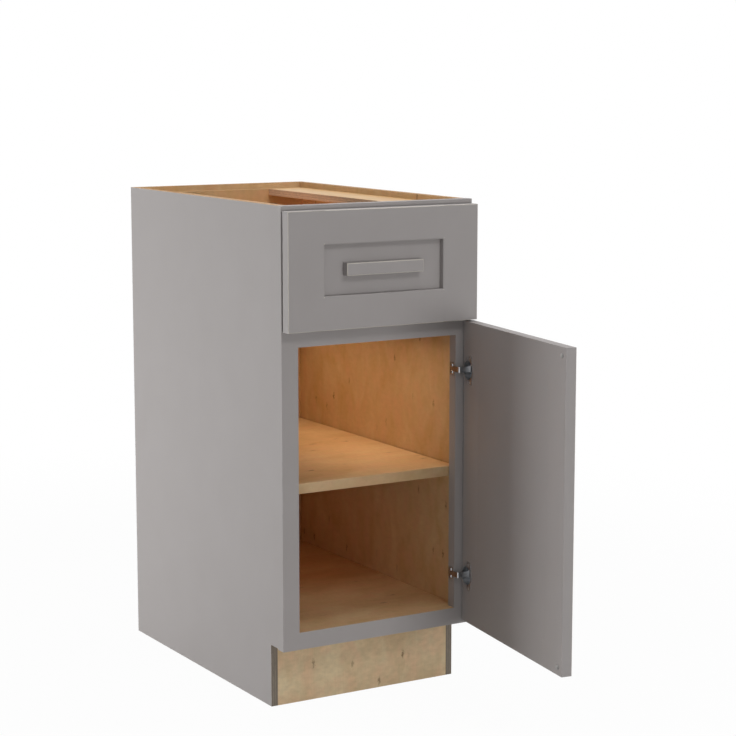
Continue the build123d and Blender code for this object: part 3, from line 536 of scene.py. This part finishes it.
class Shop:
    """What every sub-assembly shares: the record, the bodies, the slots and the closed door."""

    def __init__(self) -> None:
        """Read the record once."""
        record = frame["record"]
        bodies = record["behaviour"]["bodies"]
        self.body = {node: body for body, nodes in bodies.items() for node in nodes}
        self.slot = {part["node"]: part["material_slot"] for part in record["subparts"]}
        swing = next(j for j in frame["joints"] if j["name"] == "door_swing")
        pin = Matrix.Translation(Vector(swing["pos_m"]))
        shut = Matrix.Rotation(math.radians(swing["range_deg"][0]), 4, Vector(swing["axis"]))
        self.shut_door = pin @ shut @ pin.inverted()
        self.boards_made = 0

    def upright(self, node: str) -> Matrix:
        """Matrix that brings a node square to the cabinet's axes: the shut door's, or none."""
        return self.shut_door if self.body[node] == "door" else Matrix.Identity(4)

    def welded(self, node: str) -> bmesh.types.BMesh:
        """Copy a node's solid, square to the axes, with its flat faces made whole.

        Args:
            node: CAD node to copy.

        Returns:
            The welded copy, to be freed by the caller.
        """
        bm = bmesh.new()
        bm.from_mesh(frame["nodes"][node].data)
        bmesh.ops.remove_doubles(bm, verts=bm.verts, dist=WELD)
        bmesh.ops.transform(bm, matrix=self.upright(node), verts=bm.verts)
        bmesh.ops.dissolve_limit(bm, angle_limit=LEVEL_ANGLE, verts=bm.verts, edges=bm.edges)
        return bm

    def solids(self, node: str) -> list[tuple[Vector, Vector]]:
        """Box each separate solid of a node, square to the axes.

        Args:
            node: CAD node to take apart.

        Returns:
            Lowest and highest corner of each solid, sorted by the lowest.
        """
        bm = self.welded(node)
        left = set(bm.verts)
        boxes = []
        while left:
            stack = [left.pop()]
            island = []
            while stack:
                vert = stack.pop()
                island.append(vert.co.copy())
                for edge in vert.link_edges:
                    other = edge.other_vert(vert)
                    if other in left:
                        left.remove(other)
                        stack.append(other)
            low = Vector([min(p[i] for p in island) for i in range(3)])
            high = Vector([max(p[i] for p in island) for i in range(3)])
            boxes.append((low, high))
        bm.free()
        return sorted(boxes, key=lambda box: tuple(box[0]))

    def show(self, piece: bpy.types.Object, node: str) -> None:
        """Let a finished piece stand for a node and ride on its body.

        Args:
            piece: object at the origin, with its place in its mesh.
            node: CAD node that it stands for.
        """
        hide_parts(node)
        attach(piece, self.body[node])
        LOG.info("%s stands for %s on %s", piece.name, node, self.body[node])

    def dress(self, node: str, finish: Finish) -> None:
        """Give a CAD node that is shown as it is a better material.

        Args:
            node: the CAD node.
            finish: its finish.
        """
        for place in frame["nodes"][node].material_slots:
            place.material = finish.material()
        LOG.info("%s keeps its solid, in %s", node, finish.name)

    def board(self, plan: Board) -> None:
        """Show one board as an eased copy of its solid, with its grain and its finishes.

        Args:
            plan: the board to make.
        """
        bm = self.welded(plan.node)
        if plan.easing:
            ease(bm, plan.easing)
        name = plan.node + "_board"
        mesh = bpy.data.meshes.new(name + "_rough")
        clad(bm, plan, mesh)
        bm.to_mesh(mesh)
        bm.free()
        self.boards_made += 1
        write_grain(mesh, plan, self.boards_made)
        mesh.transform(self.upright(plan.node).inverted())
        self.show(put(name, soften(mesh, name)), plan.node)


def ease(bm: bmesh.types.BMesh, width: float) -> None:
    """Take the sharpness off the long outer edges of a board.

    Args:
        bm: the board.
        width: width of the easing.
    """
    long_edges = [
        edge for edge in bm.edges
        if len(edge.link_faces) == 2 and edge.is_convex
        and edge.calc_face_angle() > SHARP_ANGLE and edge.calc_length() > LONG_EDGE * width
    ]
    bmesh.ops.bevel(bm, geom=long_edges, offset=width, offset_type="OFFSET", segments=2,
                    profile=0.5, affect="EDGES", clamp_overlap=True, material=-1)


def is_arris(face: bmesh.types.BMFace) -> bool:
    """True for the narrow slanted faces of an eased edge, which get a painted highlight; not flat faces or wide
    bevels.
    """
    slanted = max(abs(part) for part in face.normal) <= FLAT
    return slanted and face.calc_area() < EDGE_HIGHLIGHT_WIDTH * max(edge.calc_length() for edge in face.edges)


def clad(bm: bmesh.types.BMesh, plan: Board, mesh: bpy.types.Mesh) -> None:
    """Choose each face's finish by the way that it looks, and mark eased faces for a painted highlight.

    Args:
        bm: the board, square to the axes.
        plan: its grain, thickness and finishes.
        mesh: the mesh that gets the materials.
    """
    finishes: list[Finish] = []
    painted_edge_highlight = bm.faces.layers.float.new(EDGE_HIGHLIGHT)
    bm.normal_update()
    for face in bm.faces:
        through = face.normal[plan.through.value]
        along = abs(face.normal[plan.grain.value])
        if plan.top and face.normal.z > SQUARE_ON:
            finish = plan.top
        elif abs(through) > SQUARE_ON:
            finish = plan.cladding.high if through > 0 else plan.cladding.low
        else:
            finish = plan.cladding.end if along > SQUARE_ON else plan.cladding.edge
        if finish not in finishes:
            finishes.append(finish)
        face.material_index = finishes.index(finish)
        # narrow eased faces get the painted edge highlight
        face[painted_edge_highlight] = 1.0 if is_arris(face) else 0.0
    for finish in finishes:
        mesh.materials.append(finish.material())


def write_grain(mesh: bpy.types.Mesh, plan: Board, number: int) -> None:
    """Store each point's place in the board's own grain, so that no two boards share a figure.

    Args:
        mesh: the board, square to the axes.
        plan: its grain and thickness.
        number: the board's number, which shifts its figure.
    """
    across = next(way for way in Way if way not in (plan.grain, plan.through))
    through = [vert.co[plan.through.value] for vert in mesh.vertices]
    middle = (min(through) + max(through)) / 2
    layer = mesh.attributes.new(GRAIN, "FLOAT_VECTOR", "POINT")
    for vert, value in zip(mesh.vertices, layer.data):
        value.vector = (vert.co[plan.grain.value] + FIGURE_STEP[0] * number,
                        vert.co[across.value] + FIGURE_STEP[1] * number,
                        vert.co[plan.through.value] - middle)


def soften(mesh: bpy.types.Mesh, name: str) -> bpy.types.Mesh:
    """Shade rounded edges smooth and keep flat faces flat.

    Args:
        mesh: the mesh to shade.
        name: name of the result.

    Returns:
        The shaded mesh, its normals weighted by the area of the faces.
    """
    mesh.polygons.foreach_set("use_smooth", [True] * len(mesh.polygons))
    mesh.set_sharp_from_angle(angle=SMOOTH_ANGLE)
    holder = put(name + "_shading", mesh)
    weighted = holder.modifiers.new("flat_faces_first", "WEIGHTED_NORMAL")
    weighted.keep_sharp = True
    return settled(holder, name)


def settled(holder: bpy.types.Object, name: str) -> bpy.types.Mesh:
    """Turn what an object's modifiers make into a plain mesh, and remove the object.

    Args:
        holder: the object.
        name: name of the mesh.

    Returns:
        The plain mesh.
    """
    graph = bpy.context.evaluated_depsgraph_get()
    made = bpy.data.meshes.new_from_object(holder.evaluated_get(graph), depsgraph=graph)
    made.name = name
    holder.modifiers.clear()
    bpy.data.objects.remove(holder)
    return made


# Repeated pieces


def new_tree(name: str, inputs: dict[str, str]) -> tuple[Tree, bpy.types.NodeOutputs]:
    """Start a geometry node tree with named inputs and one geometry output.

    Args:
        name: name of the tree.
        inputs: label of each input to its kind of socket.

    Returns:
        The tree and the inputs as sockets inside it.
    """
    tree = bpy.data.node_groups.new(name, "GeometryNodeTree")
    for label, kind in inputs.items():
        tree.interface.new_socket(label, in_out="INPUT", socket_type="NodeSocket" + kind)
    tree.interface.new_socket("Geometry", in_out="OUTPUT", socket_type="NodeSocketGeometry")
    return tree, add(tree, "NodeGroupInput").outputs


def run_tree(name: str, tree: Tree, mesh: bpy.types.Mesh, values: dict[str, Any]) -> bpy.types.Mesh:
    """Evaluate a geometry node tree on a mesh and keep the result as a plain mesh.

    Args:
        name: name of the result.
        tree: the tree to run.
        mesh: what goes into its first input.
        values: label of each other input to its value.

    Returns:
        The plain mesh.
    """
    holder = put(name + "_layout", mesh)
    modifier = holder.modifiers.new("layout", "NODES")
    modifier.node_group = tree
    for item in tree.interface.items_tree:
        if item.item_type == "SOCKET" and item.in_out == "INPUT" and item.name in values:
            modifier[item.identifier] = values[item.name]
    return settled(holder, name)


def geometry(tree: Tree, kind: str, sockets: dict[Any, Any], **settings: Any) -> Socket:
    """First output of a new geometry node, its kind given without the prefix."""
    return add(tree, "GeometryNode" + kind, sockets, **settings).outputs[0]


def xyz(tree: Tree, **parts: Socket) -> Socket:
    """Vector put together from some of its parts."""
    return add(tree, "ShaderNodeCombineXYZ", parts).outputs[0]


def item_tree() -> Tree:
    """Build the tree that puts one small item on every seat, each turned a little differently.

    Returns:
        The tree.
    """
    tree, given = new_tree("items_on_seats", {
        "Seats": "Geometry", "Item": "Object", "Facing": "Rotation", "Spin": "Float", "Seed": "Int",
        "Finish": "Material"})
    item = add(tree, "GeometryNodeObjectInfo", {"Object": given["Item"]})
    placed = geometry(tree, "InstanceOnPoints", {
        "Points": given["Seats"], "Instance": item.outputs["Geometry"], "Rotation": given["Facing"]})
    chance = add(tree, "FunctionNodeRandomValue", {
        "Max": given["Spin"], "Seed": given["Seed"]}, data_type="FLOAT")
    turned = geometry(tree, "RotateInstances", {
        "Instances": placed, "Rotation": xyz(tree, Z=chance.outputs["Value"]), "Local Space": True})
    real = geometry(tree, "RealizeInstances", {0: turned})
    finished = geometry(tree, "SetMaterial", {"Geometry": real, "Material": given["Finish"]})
    add(tree, "NodeGroupOutput", {0: finished})
    return tree


def slat_tree() -> Tree:
    """Build the tree that cuts a row of slats, each rounded over at its front top corner.

    Returns:
        The tree.
    """
    tree, given = new_tree("row_of_slats", {
        "Base": "Geometry", "Count": "Int", "Slat Width": "Float", "Slot Width": "Float",
        "Length": "Float", "Height": "Float", "Rounding": "Float", "Easing": "Float",
        "Corner": "Vector", "Shift": "Float", "Finish": "Material"})
    outline = geometry(tree, "CurvePrimitiveQuadrilateral", {
        "Point 1": (0.0, 0.0, 0.0), "Point 2": xyz(tree, Y=given["Height"]),
        "Point 3": xyz(tree, X=given["Length"], Y=given["Height"]),
        "Point 4": xyz(tree, X=given["Length"])}, mode="POINTS")
    at_front = add(tree, "FunctionNodeCompare", {
        "A": geometry(tree, "InputIndex", {}), "B": 1}, data_type="INT", operation="EQUAL")
    radius = geometry(tree, "Switch", {
        "Switch": at_front.outputs[0], "False": given["Easing"], "True": given["Rounding"]},
        input_type="FLOAT")
    rounded = geometry(tree, "FilletCurve", {
        "Curve": outline, "Radius": radius, "Count": 5}, mode="POLY")
    sheet = geometry(tree, "FillCurve", {"Curve": rounded}, mode="NGONS")
    body = geometry(tree, "ExtrudeMesh", {
        "Mesh": sheet, "Offset": xyz(tree, Z=given["Slat Width"]), "Offset Scale": 1.0,
        "Individual": False}, mode="FACES")
    closed = add(tree, "GeometryNodeJoinGeometry", {0: body})
    tree.links.new(geometry(tree, "FlipFaces", {0: sheet}), closed.inputs[0])
    whole = geometry(tree, "MergeByDistance", {"Geometry": closed.outputs[0], "Distance": WELD})
    stood = geometry(tree, "Transform", {
        "Geometry": whole, "Rotation": (math.pi / 2, 0.0, math.pi / 2)})
    pitch = maths(tree, "ADD", given["Slat Width"], given["Slot Width"])
    row = geometry(tree, "MeshLine", {
        "Count": given["Count"], "Start Location": given["Corner"], "Offset": xyz(tree, X=pitch)})
    placed = geometry(tree, "InstanceOnPoints", {"Points": row, "Instance": stood})
    real = geometry(tree, "RealizeInstances", {0: placed})
    part = add(tree, "ShaderNodeSeparateXYZ", {0: geometry(tree, "InputPosition", {})}).outputs
    cell = maths(tree, "FLOOR", maths(tree, "DIVIDE", part["X"], pitch))
    own = maths(tree, "MULTIPLY_ADD", cell, SLAT_STEP, given["Shift"])
    grain = xyz(tree, X=maths(tree, "ADD", part["Y"], own), Y=part["Z"], Z=part["X"])
    kept = geometry(tree, "StoreNamedAttribute", {"Geometry": real, "Name": GRAIN, "Value": grain},
                    data_type="FLOAT_VECTOR", domain="POINT")
    finished = geometry(tree, "SetMaterial", {"Geometry": kept, "Material": given["Finish"]})
    add(tree, "NodeGroupOutput", {0: finished})
    return tree


def lathe(bm: bmesh.types.BMesh, outline: list[tuple[float, float]], steps: int) -> None:
    """Turn an outline of radius and height about Z into a closed shape.

    Args:
        bm: mesh that gets the shape.
        outline: points from the axis to the axis.
        steps: number of sides.
    """
    points = [bm.verts.new((radius, 0.0, height)) for radius, height in outline]
    edges = [bm.edges.new(pair) for pair in zip(points, points[1:])]
    bmesh.ops.spin(bm, geom=points + edges, cent=(0, 0, 0), axis=(0, 0, 1), angle=math.tau, steps=steps,
                   use_merge=True)
    bmesh.ops.remove_doubles(bm, verts=bm.verts, dist=WELD)
    bmesh.ops.recalc_face_normals(bm, faces=bm.faces)


@dataclass
class Fasteners:
    """Small repeated items of one node: pan-head screws or soft bumpers, laid out on their seats.

    Outlines are shares of a radius and of a length. The shank's runs up from its tip, the head's from
    its seat.
    """

    shop: Shop
    tree: Tree
    steps: int = 28
    shank_share: float = 0.48
    shank_outline: Outline = ((0.0, 1.0), (0.4, 0.94), (1.0, 0.8), (1.0, 0.0))
    head_outline: Outline = ((0.98, 0.0), (1.0, 0.18), (0.93, 0.5), (0.8, 0.78), (0.62, 0.98))
    recess_share: float = 0.42
    recess_width: float = 0.95 * MM
    recess_taper: float = 0.8
    recess_floor: float = 0.35
    bumper_skirt: float = 0.25
    bumper_steps: int = 7

    def screw(self, radius: float, head: float, shank: float, length: float) -> bpy.types.Object:
        """Master of a pan-head screw with a cross recess, its seat at the origin and its head up.

        Args:
            radius: head radius.
            head: head height.
            shank: shank radius.
            length: shank length.

        Returns:
            The master object, to be removed after use.
        """
        bm = bmesh.new()
        rim = self.recess_width / 2
        reach = radius * self.recess_share
        body = [(shank * across, -length * down) for across, down in self.shank_outline]
        body += [(radius * across, head * up) for across, up in self.head_outline]
        top = body[-1][1]
        lathe(bm, body, self.steps)
        ring = [edge for edge in bm.edges if edge.is_boundary]
        cross = [(rim, rim), (reach, rim), (reach, -rim)]
        for _ in range(3):
            cross += [(y, -x) for x, y in cross[-3:]]
        mouth = [bm.verts.new((x, y, top)) for x, y in cross]
        taper, depth = self.recess_taper, head * self.recess_floor
        floor = [bm.verts.new((x * taper, y * taper, depth)) for x, y in cross]
        lips = [bm.edges.new((mouth[i - 1], mouth[i])) for i in range(len(cross))]
        for i in range(len(cross)):
            bm.faces.new((mouth[i - 1], mouth[i], floor[i], floor[i - 1]))
        bm.faces.new(floor)
        bmesh.ops.triangle_fill(bm, use_beauty=True, use_dissolve=False, edges=ring + lips)
        bmesh.ops.recalc_face_normals(bm, faces=bm.faces)
        return self.master("screw_master", bm)

    def bumper(self, radius: float, height: float) -> bpy.types.Object:
        """Master of a domed bumper that sits on the origin.

        Args:
            radius: its radius.
            height: its height.

        Returns:
            The master object, to be removed after use.
        """
        bm = bmesh.new()
        rise = 1.0 - self.bumper_skirt
        turns = [math.pi / 2 * step / self.bumper_steps for step in range(self.bumper_steps)]
        dome = [(radius * math.cos(a), height * (self.bumper_skirt + rise * math.sin(a))) for a in turns]
        lathe(bm, [(0.0, 0.0), (radius, 0.0), *dome, (0.0, height)], self.steps)
        return self.master("bumper_master", bm)

    def master(self, name: str, bm: bmesh.types.BMesh) -> bpy.types.Object:
        """Make the object that holds one item for the layout to copy.

        Args:
            name: name of the object.
            bm: the item, which is freed.

        Returns:
            The object.
        """
        mesh = bpy.data.meshes.new(name)
        bm.to_mesh(mesh)
        bm.free()
        return put(name, soften(mesh, name))

    def lay_out(self, node: str, facing: Vector, head: float, finish: Finish,
                is_bumper: bool = False) -> None:
        """Replace a node's fasteners by detailed ones on the same seats.

        Args:
            node: CAD node whose solids are the fasteners.
            facing: the way that their heads look, square to the axes.
            head: height of a head, or of a bumper.
            finish: their finish.
            is_bumper: True for bumpers.
        """
        boxes = self.shop.solids(node)
        axis = max(range(3), key=lambda index: abs(facing[index]))
        side = (axis + 1) % 3
        first_low, first_high = boxes[0]
        radius = (first_high[side] - first_low[side]) / 2
        length = first_high[axis] - first_low[axis] - head
        seats = []
        for low, high in boxes:
            seat = (low + high) / 2
            seat[axis] = high[axis] - head if facing[axis] > 0 else low[axis] + head
            seats.append(seat)
        item = (self.bumper(radius, head) if is_bumper
                else self.screw(radius, head, radius * self.shank_share, length))
        points = bpy.data.meshes.new(node + "_seats")
        points.from_pydata([tuple(seat) for seat in seats], [], [])
        turn = facing.to_track_quat("Z", "Y").to_euler()
        made = run_tree(node + "_detailed", self.tree, points, {
            "Item": item, "Facing": turn, "Spin": math.pi, "Seed": len(node),
            "Finish": finish.material()})
        bpy.data.objects.remove(item)
        made.transform(self.shop.upright(node).inverted())
        self.shop.show(put(node + "_detailed", made), node)


# Sub-assemblies


@dataclass
class Carcass:
    """Plywood box: painted outside, clear maple inside, with braces under its open top."""

    shop: Shop
    easing: float = 0.4 * MM

    def build(self) -> None:
        """Show the sides, the back, the bottom, the toe board, the braces and the nailer rail."""
        left = Cladding(PAINT, VENEER, SEALED_EDGE, PLY_EDGE)
        right = Cladding(VENEER, PAINT, SEALED_EDGE, PLY_EDGE)
        plans = [
            Board("left_side_panel", Way.Z, Way.X, left, self.easing),
            Board("right_side_panel", Way.Z, Way.X, right, self.easing),
            Board("back_panel", Way.Z, Way.Y, PLYWOOD),
            Board("bottom_panel", Way.X, Way.Z, PLYWOOD),
            Board("toe_kick_board", Way.Z, Way.Y, UNSEALED_PAINTED_LIGHT, self.easing),
            Board("back_nailer_rail", Way.X, Way.Y, PLYWOOD, self.easing),
            Board("left_top_brace", Way.Y, Way.Z, SANDED, self.easing),
            Board("right_top_brace", Way.Y, Way.Z, SANDED, self.easing),
        ]
        for plan in plans:
            self.shop.board(plan)


@dataclass
class FaceFrame:
    """Painted face frame of two stiles and three rails, the lowest clear on its upper edge."""

    shop: Shop

    def build(self) -> None:
        """Show the stiles and the rails."""
        for side in SIDES:
            self.shop.board(Board(f"frame_{side}_stile", Way.Z, Way.Y, PAINTED))
        for rail in ("top", "middle"):
            self.shop.board(Board(f"frame_{rail}_rail", Way.X, Way.Y, PAINTED))
        self.shop.board(Board("frame_bottom_rail", Way.X, Way.Y, PAINTED, top=VENEER))


@dataclass
class Leaf:
    """Five-piece painted front: the door or the drawer front, with its bumpers."""

    shop: Shop
    name: str
    bumpers: str
    fasteners: Fasteners
    bumper_height: float = 2.6 * MM

    def build(self) -> None:
        """Show the stiles, the rails, the panel and the bumpers."""
        for side in SIDES:
            self.shop.board(Board(f"{self.name}_{side}_stile", Way.Z, Way.Y, PAINTED))
        for rail in ("top", "bottom"):
            self.shop.board(Board(f"{self.name}_{rail}_rail", Way.X, Way.Y, PAINTED))
        self.shop.board(Board(f"{self.name}_panel", Way.Z, Way.Y, PAINTED))
        self.fasteners.lay_out(self.bumpers, Vector((0, 1, 0)), self.bumper_height, CLEAR_BUMPER,
                               is_bumper=True)


@dataclass
class Hinges:
    """Two concealed hinges: a cup in the door and an arm on the stile, joined by a pin."""

    shop: Shop
    fasteners: Fasteners
    cup_head: float = 0.8 * MM
    arm_head: float = 1.6 * MM

    def build(self) -> None:
        """Dress the cups, the arms and the pins, and lay out their screws."""
        for place in ("upper", "lower"):
            self.shop.dress(f"{place}_hinge_cup", NICKEL)
            self.shop.dress(f"{place}_hinge_arm", NICKEL)
        self.shop.dress("hinge_pins", NICKEL)
        self.fasteners.lay_out("hinge_cup_screws", Vector((0, 1, 0)), self.cup_head, SCREW_STEEL)
        self.fasteners.lay_out("hinge_arm_screws", Vector((-1, 0, 0)), self.arm_head, SCREW_STEEL)


@dataclass
class Shelf:
    """Loose plywood shelf on four pins."""

    shop: Shop
    easing: float = 0.5 * MM

    def build(self) -> None:
        """Show the shelf and dress its pins."""
        self.shop.board(Board("adjustable_shelf", Way.X, Way.Z, BANDED, self.easing))
        self.shop.dress("shelf_pins", NICKEL)


@dataclass
class Drawer:
    """Dovetailed maple drawer box with its pull and its undermount slides."""

    shop: Shop
    fasteners: Fasteners
    head: float = 1.6 * MM
    easing: float = 0.4 * MM

    def build(self) -> None:
        """Show the box and the pull, dress the slides and lay out the screws."""
        for side in SIDES:
            self.shop.board(Board(f"drawer_box_{side}_side", Way.Y, Way.X, SOLID))
        for end in ("front", "back"):
            self.shop.board(Board(f"drawer_box_{end}", Way.X, Way.Y, SOLID))
        self.shop.board(Board("drawer_box_bottom", Way.X, Way.Z, PLYWOOD, self.easing))
        self.shop.board(Board("drawer_pull_bar", Way.X, Way.Y, PAINTED))
        for side in SIDES:
            for member in ("cabinet", "middle", "drawer"):
                self.shop.dress(f"{side}_slide_{member}_member", ZINC)
        for end in ("front", "rear"):
            self.shop.dress(f"slide_{end}_brackets", ZINC)
        self.shop.dress("drawer_locking_clips", CLIP_NYLON)
        for node in ("drawer_pull_screws", "drawer_front_screws", "slide_front_screws"):
            self.fasteners.lay_out(node, Vector((0, 1, 0)), self.head, SCREW_STEEL)
        self.fasteners.lay_out("slide_rear_screws", Vector((0, -1, 0)), self.head, SCREW_STEEL)


@dataclass
class KnifeInsert:
    """Knife insert of the drawer: a base board, a fence and a row of slats with blade slots."""

    shop: Shop
    slats_a_side: int = 9
    slot_width: float = 4.6 * MM
    rounding: float = 9 * MM
    easing: float = 0.6 * MM
    figure_shift: float = 2.9

    def build(self) -> None:
        """Show the base and the fence and lay out the slats."""
        self.shop.board(Board("knife_insert_base", Way.X, Way.Z, SOLID, self.easing / 2))
        self.shop.board(Board("knife_insert_fence", Way.X, Way.Y, SOLID, self.easing))
        tree = slat_tree()
        for number, side in enumerate(SIDES, start=1):
            node = f"knife_insert_{side}_slats"
            low, high = (Vector(corner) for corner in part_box(node))
            span = high - low
            width = (span.x - (self.slats_a_side - 1) * self.slot_width) / self.slats_a_side
            made = run_tree(node + "_detailed", tree, bpy.data.meshes.new(node + "_seed"), {
                "Count": self.slats_a_side, "Slat Width": width, "Slot Width": self.slot_width,
                "Length": span.y, "Height": span.z, "Rounding": self.rounding, "Easing": self.easing,
                "Corner": low, "Shift": self.figure_shift * number, "Finish": SAWN.material()})
            self.shop.show(put(node + "_detailed", soften(made, node + "_detailed")), node)


# Studio


@dataclass(frozen=True)
class Lamp:
    """Soft rectangular lamp: where it hangs, what it looks at, its size and its power."""

    name: str
    place: tuple[float, float, float]
    target: tuple[float, float, float]
    size: tuple[float, float]
    power: float
    colour: str = "#FFFFFF"
    spread: float = 180.0

    def hang(self) -> None:
        """Put the lamp into the scene."""
        data = bpy.data.lights.new(self.name, "AREA")
        data.shape = "RECTANGLE"
        data.size, data.size_y = self.size
        data.energy = self.power
        data.color = linear(self.colour)[:3]
        data.spread = math.radians(self.spread)
        lamp = put(self.name, data)
        lamp.location = self.place
        aim = Vector(self.target) - Vector(self.place)
        lamp.rotation_euler = aim.to_track_quat("-Z", "Y").to_euler()
        lamp.visible_camera = False


LAMPS = (
    Lamp("left_rear_window", (-3.8, 2.85, 0.5), (-0.19, -0.3, 0.35), (2.8, 0.9), 129.0),
    Lamp("left_low_fill", (-1.35, 0.67, 0.14), (-0.19, -0.3, 0.1), (1.2, 0.2), 3.8),
    Lamp("overhead_soft_box", (0.15, -0.35, 3.6), (0.1, -0.4, 0.8), (2.0, 2.0), 61.0),
    Lamp("front_soft_box", (0.5, -4.5, 0.4), (0.0, -0.6, 0.3), (1.2, 0.7), 33.5),
    Lamp("front_high_soft_box", (0.1, -2.9, 2.7), (0.0, -0.63, 0.5), (1.4, 0.8), 17.5),
    Lamp("left_front_fill", (-3.0, -4.0, 0.7), (0.0, -0.6, 0.4), (1.5, 1.2), 8.0),
    Lamp("drawer_space_glow", (-0.04, -0.24, 0.832), (0.14, -0.12, 0.77), (0.3, 0.03), 0.076,
         "#FFC09C", 80.0),
    Lamp("upper_compartment_glow", (0.09, -0.31, 0.635), (0.09, -0.31, 0.3), (0.12, 0.52), 0.32,
         "#FFDDB8", 120.0),
    Lamp("lower_compartment_glow", (0.03, -0.26, 0.368), (0.03, -0.26, 0.1), (0.1, 0.4), 0.036,
         "#FF9C66", 150.0),
)


@dataclass
class Studio:
    """White studio: pale floor, soft lamps and a long lens a little above the cabinet's top."""

    floor_half: float = 9.0
    floor_drop: float = 0.5 * MM
    floor_colour: str = "#C4C4C4"
    floor_white_near: float = 0.97
    floor_white_from: float = 0.7
    floor_white_all: float = 2.0
    ambient: float = 0.2
    eye: tuple[float, float, float] = (-1.7831, -3.5603, 1.1104)
    turn: float = 30.836
    tilt: float = 8.58
    focal_pixels: float = 2017.4
    frame_pixels: float = 736.0
    sensor_mm: float = 36.0

    def build(self) -> None:
        """Set up the floor, the background, the lamps and the camera."""
        self.lay_floor()
        self.set_background()
        for lamp in LAMPS:
            lamp.hang()
        self.place_camera()
        bpy.context.scene.view_settings.view_transform = "Standard"

    def seen_directly(self, tree: Tree) -> Socket:
        """Tell the rays that see a surface from those that only carry its light.

        Args:
            tree: node tree of the surface.

        Returns:
            1 for rays from the camera, and for those that metal or clear plastic sends on.
        """
        path = add(tree, "ShaderNodeLightPath").outputs
        mirror = maths(tree, "MAXIMUM", path["Is Camera Ray"], path["Is Glossy Ray"])
        return maths(tree, "MAXIMUM", mirror, path["Is Transmission Ray"])

    def lay_floor(self) -> None:
        """Pale floor that looks white and keeps a faint shadow."""
        half = self.floor_half
        mesh = bpy.data.meshes.new("studio_floor")
        corners = ((-half, -half), (half, -half), (half, half), (-half, half))
        mesh.from_pydata([(x, y, -self.floor_drop) for x, y in corners], [], [(0, 1, 2, 3)])
        finish = bpy.data.materials.new("matt_pale_floor")
        tree = cleared(finish)
        matt = add(tree, "ShaderNodeBsdfDiffuse", {"Color": linear(self.floor_colour)})
        white = add(tree, "ShaderNodeEmission", {"Strength": 1.0})
        place = add(tree, "ShaderNodeTexCoord").outputs["Object"]
        away = add(tree, "ShaderNodeVectorMath", {0: place}, operation="LENGTH")
        level = ranged(tree, away.outputs["Value"], self.floor_white_near, 1.0,
                       (self.floor_white_from, self.floor_white_all), interpolation_type="SMOOTHSTEP")
        share = maths(tree, "MULTIPLY", self.seen_directly(tree), level)
        mix = add(tree, "ShaderNodeMixShader", {0: share, 1: matt.outputs[0], 2: white.outputs[0]})
        add(tree, "ShaderNodeOutputMaterial", {"Surface": mix.outputs[0]})
        mesh.materials.append(finish)
        floor = put("studio_floor", mesh)
        floor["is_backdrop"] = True

    def set_background(self) -> None:
        """Even soft light from all round that looks white to the camera."""
        world = bpy.data.worlds.new("white_studio")
        tree = cleared(world)
        level = add(tree, "ShaderNodeMix", {
            0: self.seen_directly(tree), 2: self.ambient, 3: 1.0}, data_type="FLOAT")
        glow = add(tree, "ShaderNodeBackground", {
            "Strength": level.outputs[0], "Color": (1.0, 1.0, 1.0, 1.0)})
        add(tree, "ShaderNodeOutputWorld", {"Surface": glow.outputs[0]})
        bpy.context.scene.world = world

    def place_camera(self) -> None:
        """Camera at the viewing angle of the picture."""
        data = bpy.data.cameras.new("long_lens")
        data.sensor_width = self.sensor_mm
        data.lens = self.focal_pixels / self.frame_pixels * self.sensor_mm
        camera = put("long_lens", data)
        camera.location = self.eye
        camera.rotation_euler = (math.radians(90 - self.tilt), 0.0, math.radians(-self.turn))
        bpy.context.scene.camera = camera


def main() -> None:
    """Build and dress the cabinet piece by piece, then the studio round it."""
    logging.basicConfig(level=logging.INFO, format="%(name)s: %(message)s")
    shop = Shop()
    fasteners = Fasteners(shop, item_tree())
    Carcass(shop).build()
    FaceFrame(shop).build()
    Leaf(shop, "door", "door_bumpers", fasteners).build()
    Leaf(shop, "drawer_front", "drawer_bumpers", fasteners).build()
    Hinges(shop, fasteners).build()
    Shelf(shop).build()
    Drawer(shop, fasteners).build()
    KnifeInsert(shop).build()
    Studio().build()
    boxes = {"cad": CAD_BOX, "visual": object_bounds()}
    {name: [list(corner) for corner in box] for name, box in boxes.items()}


if __name__ == "__main__":
    main()
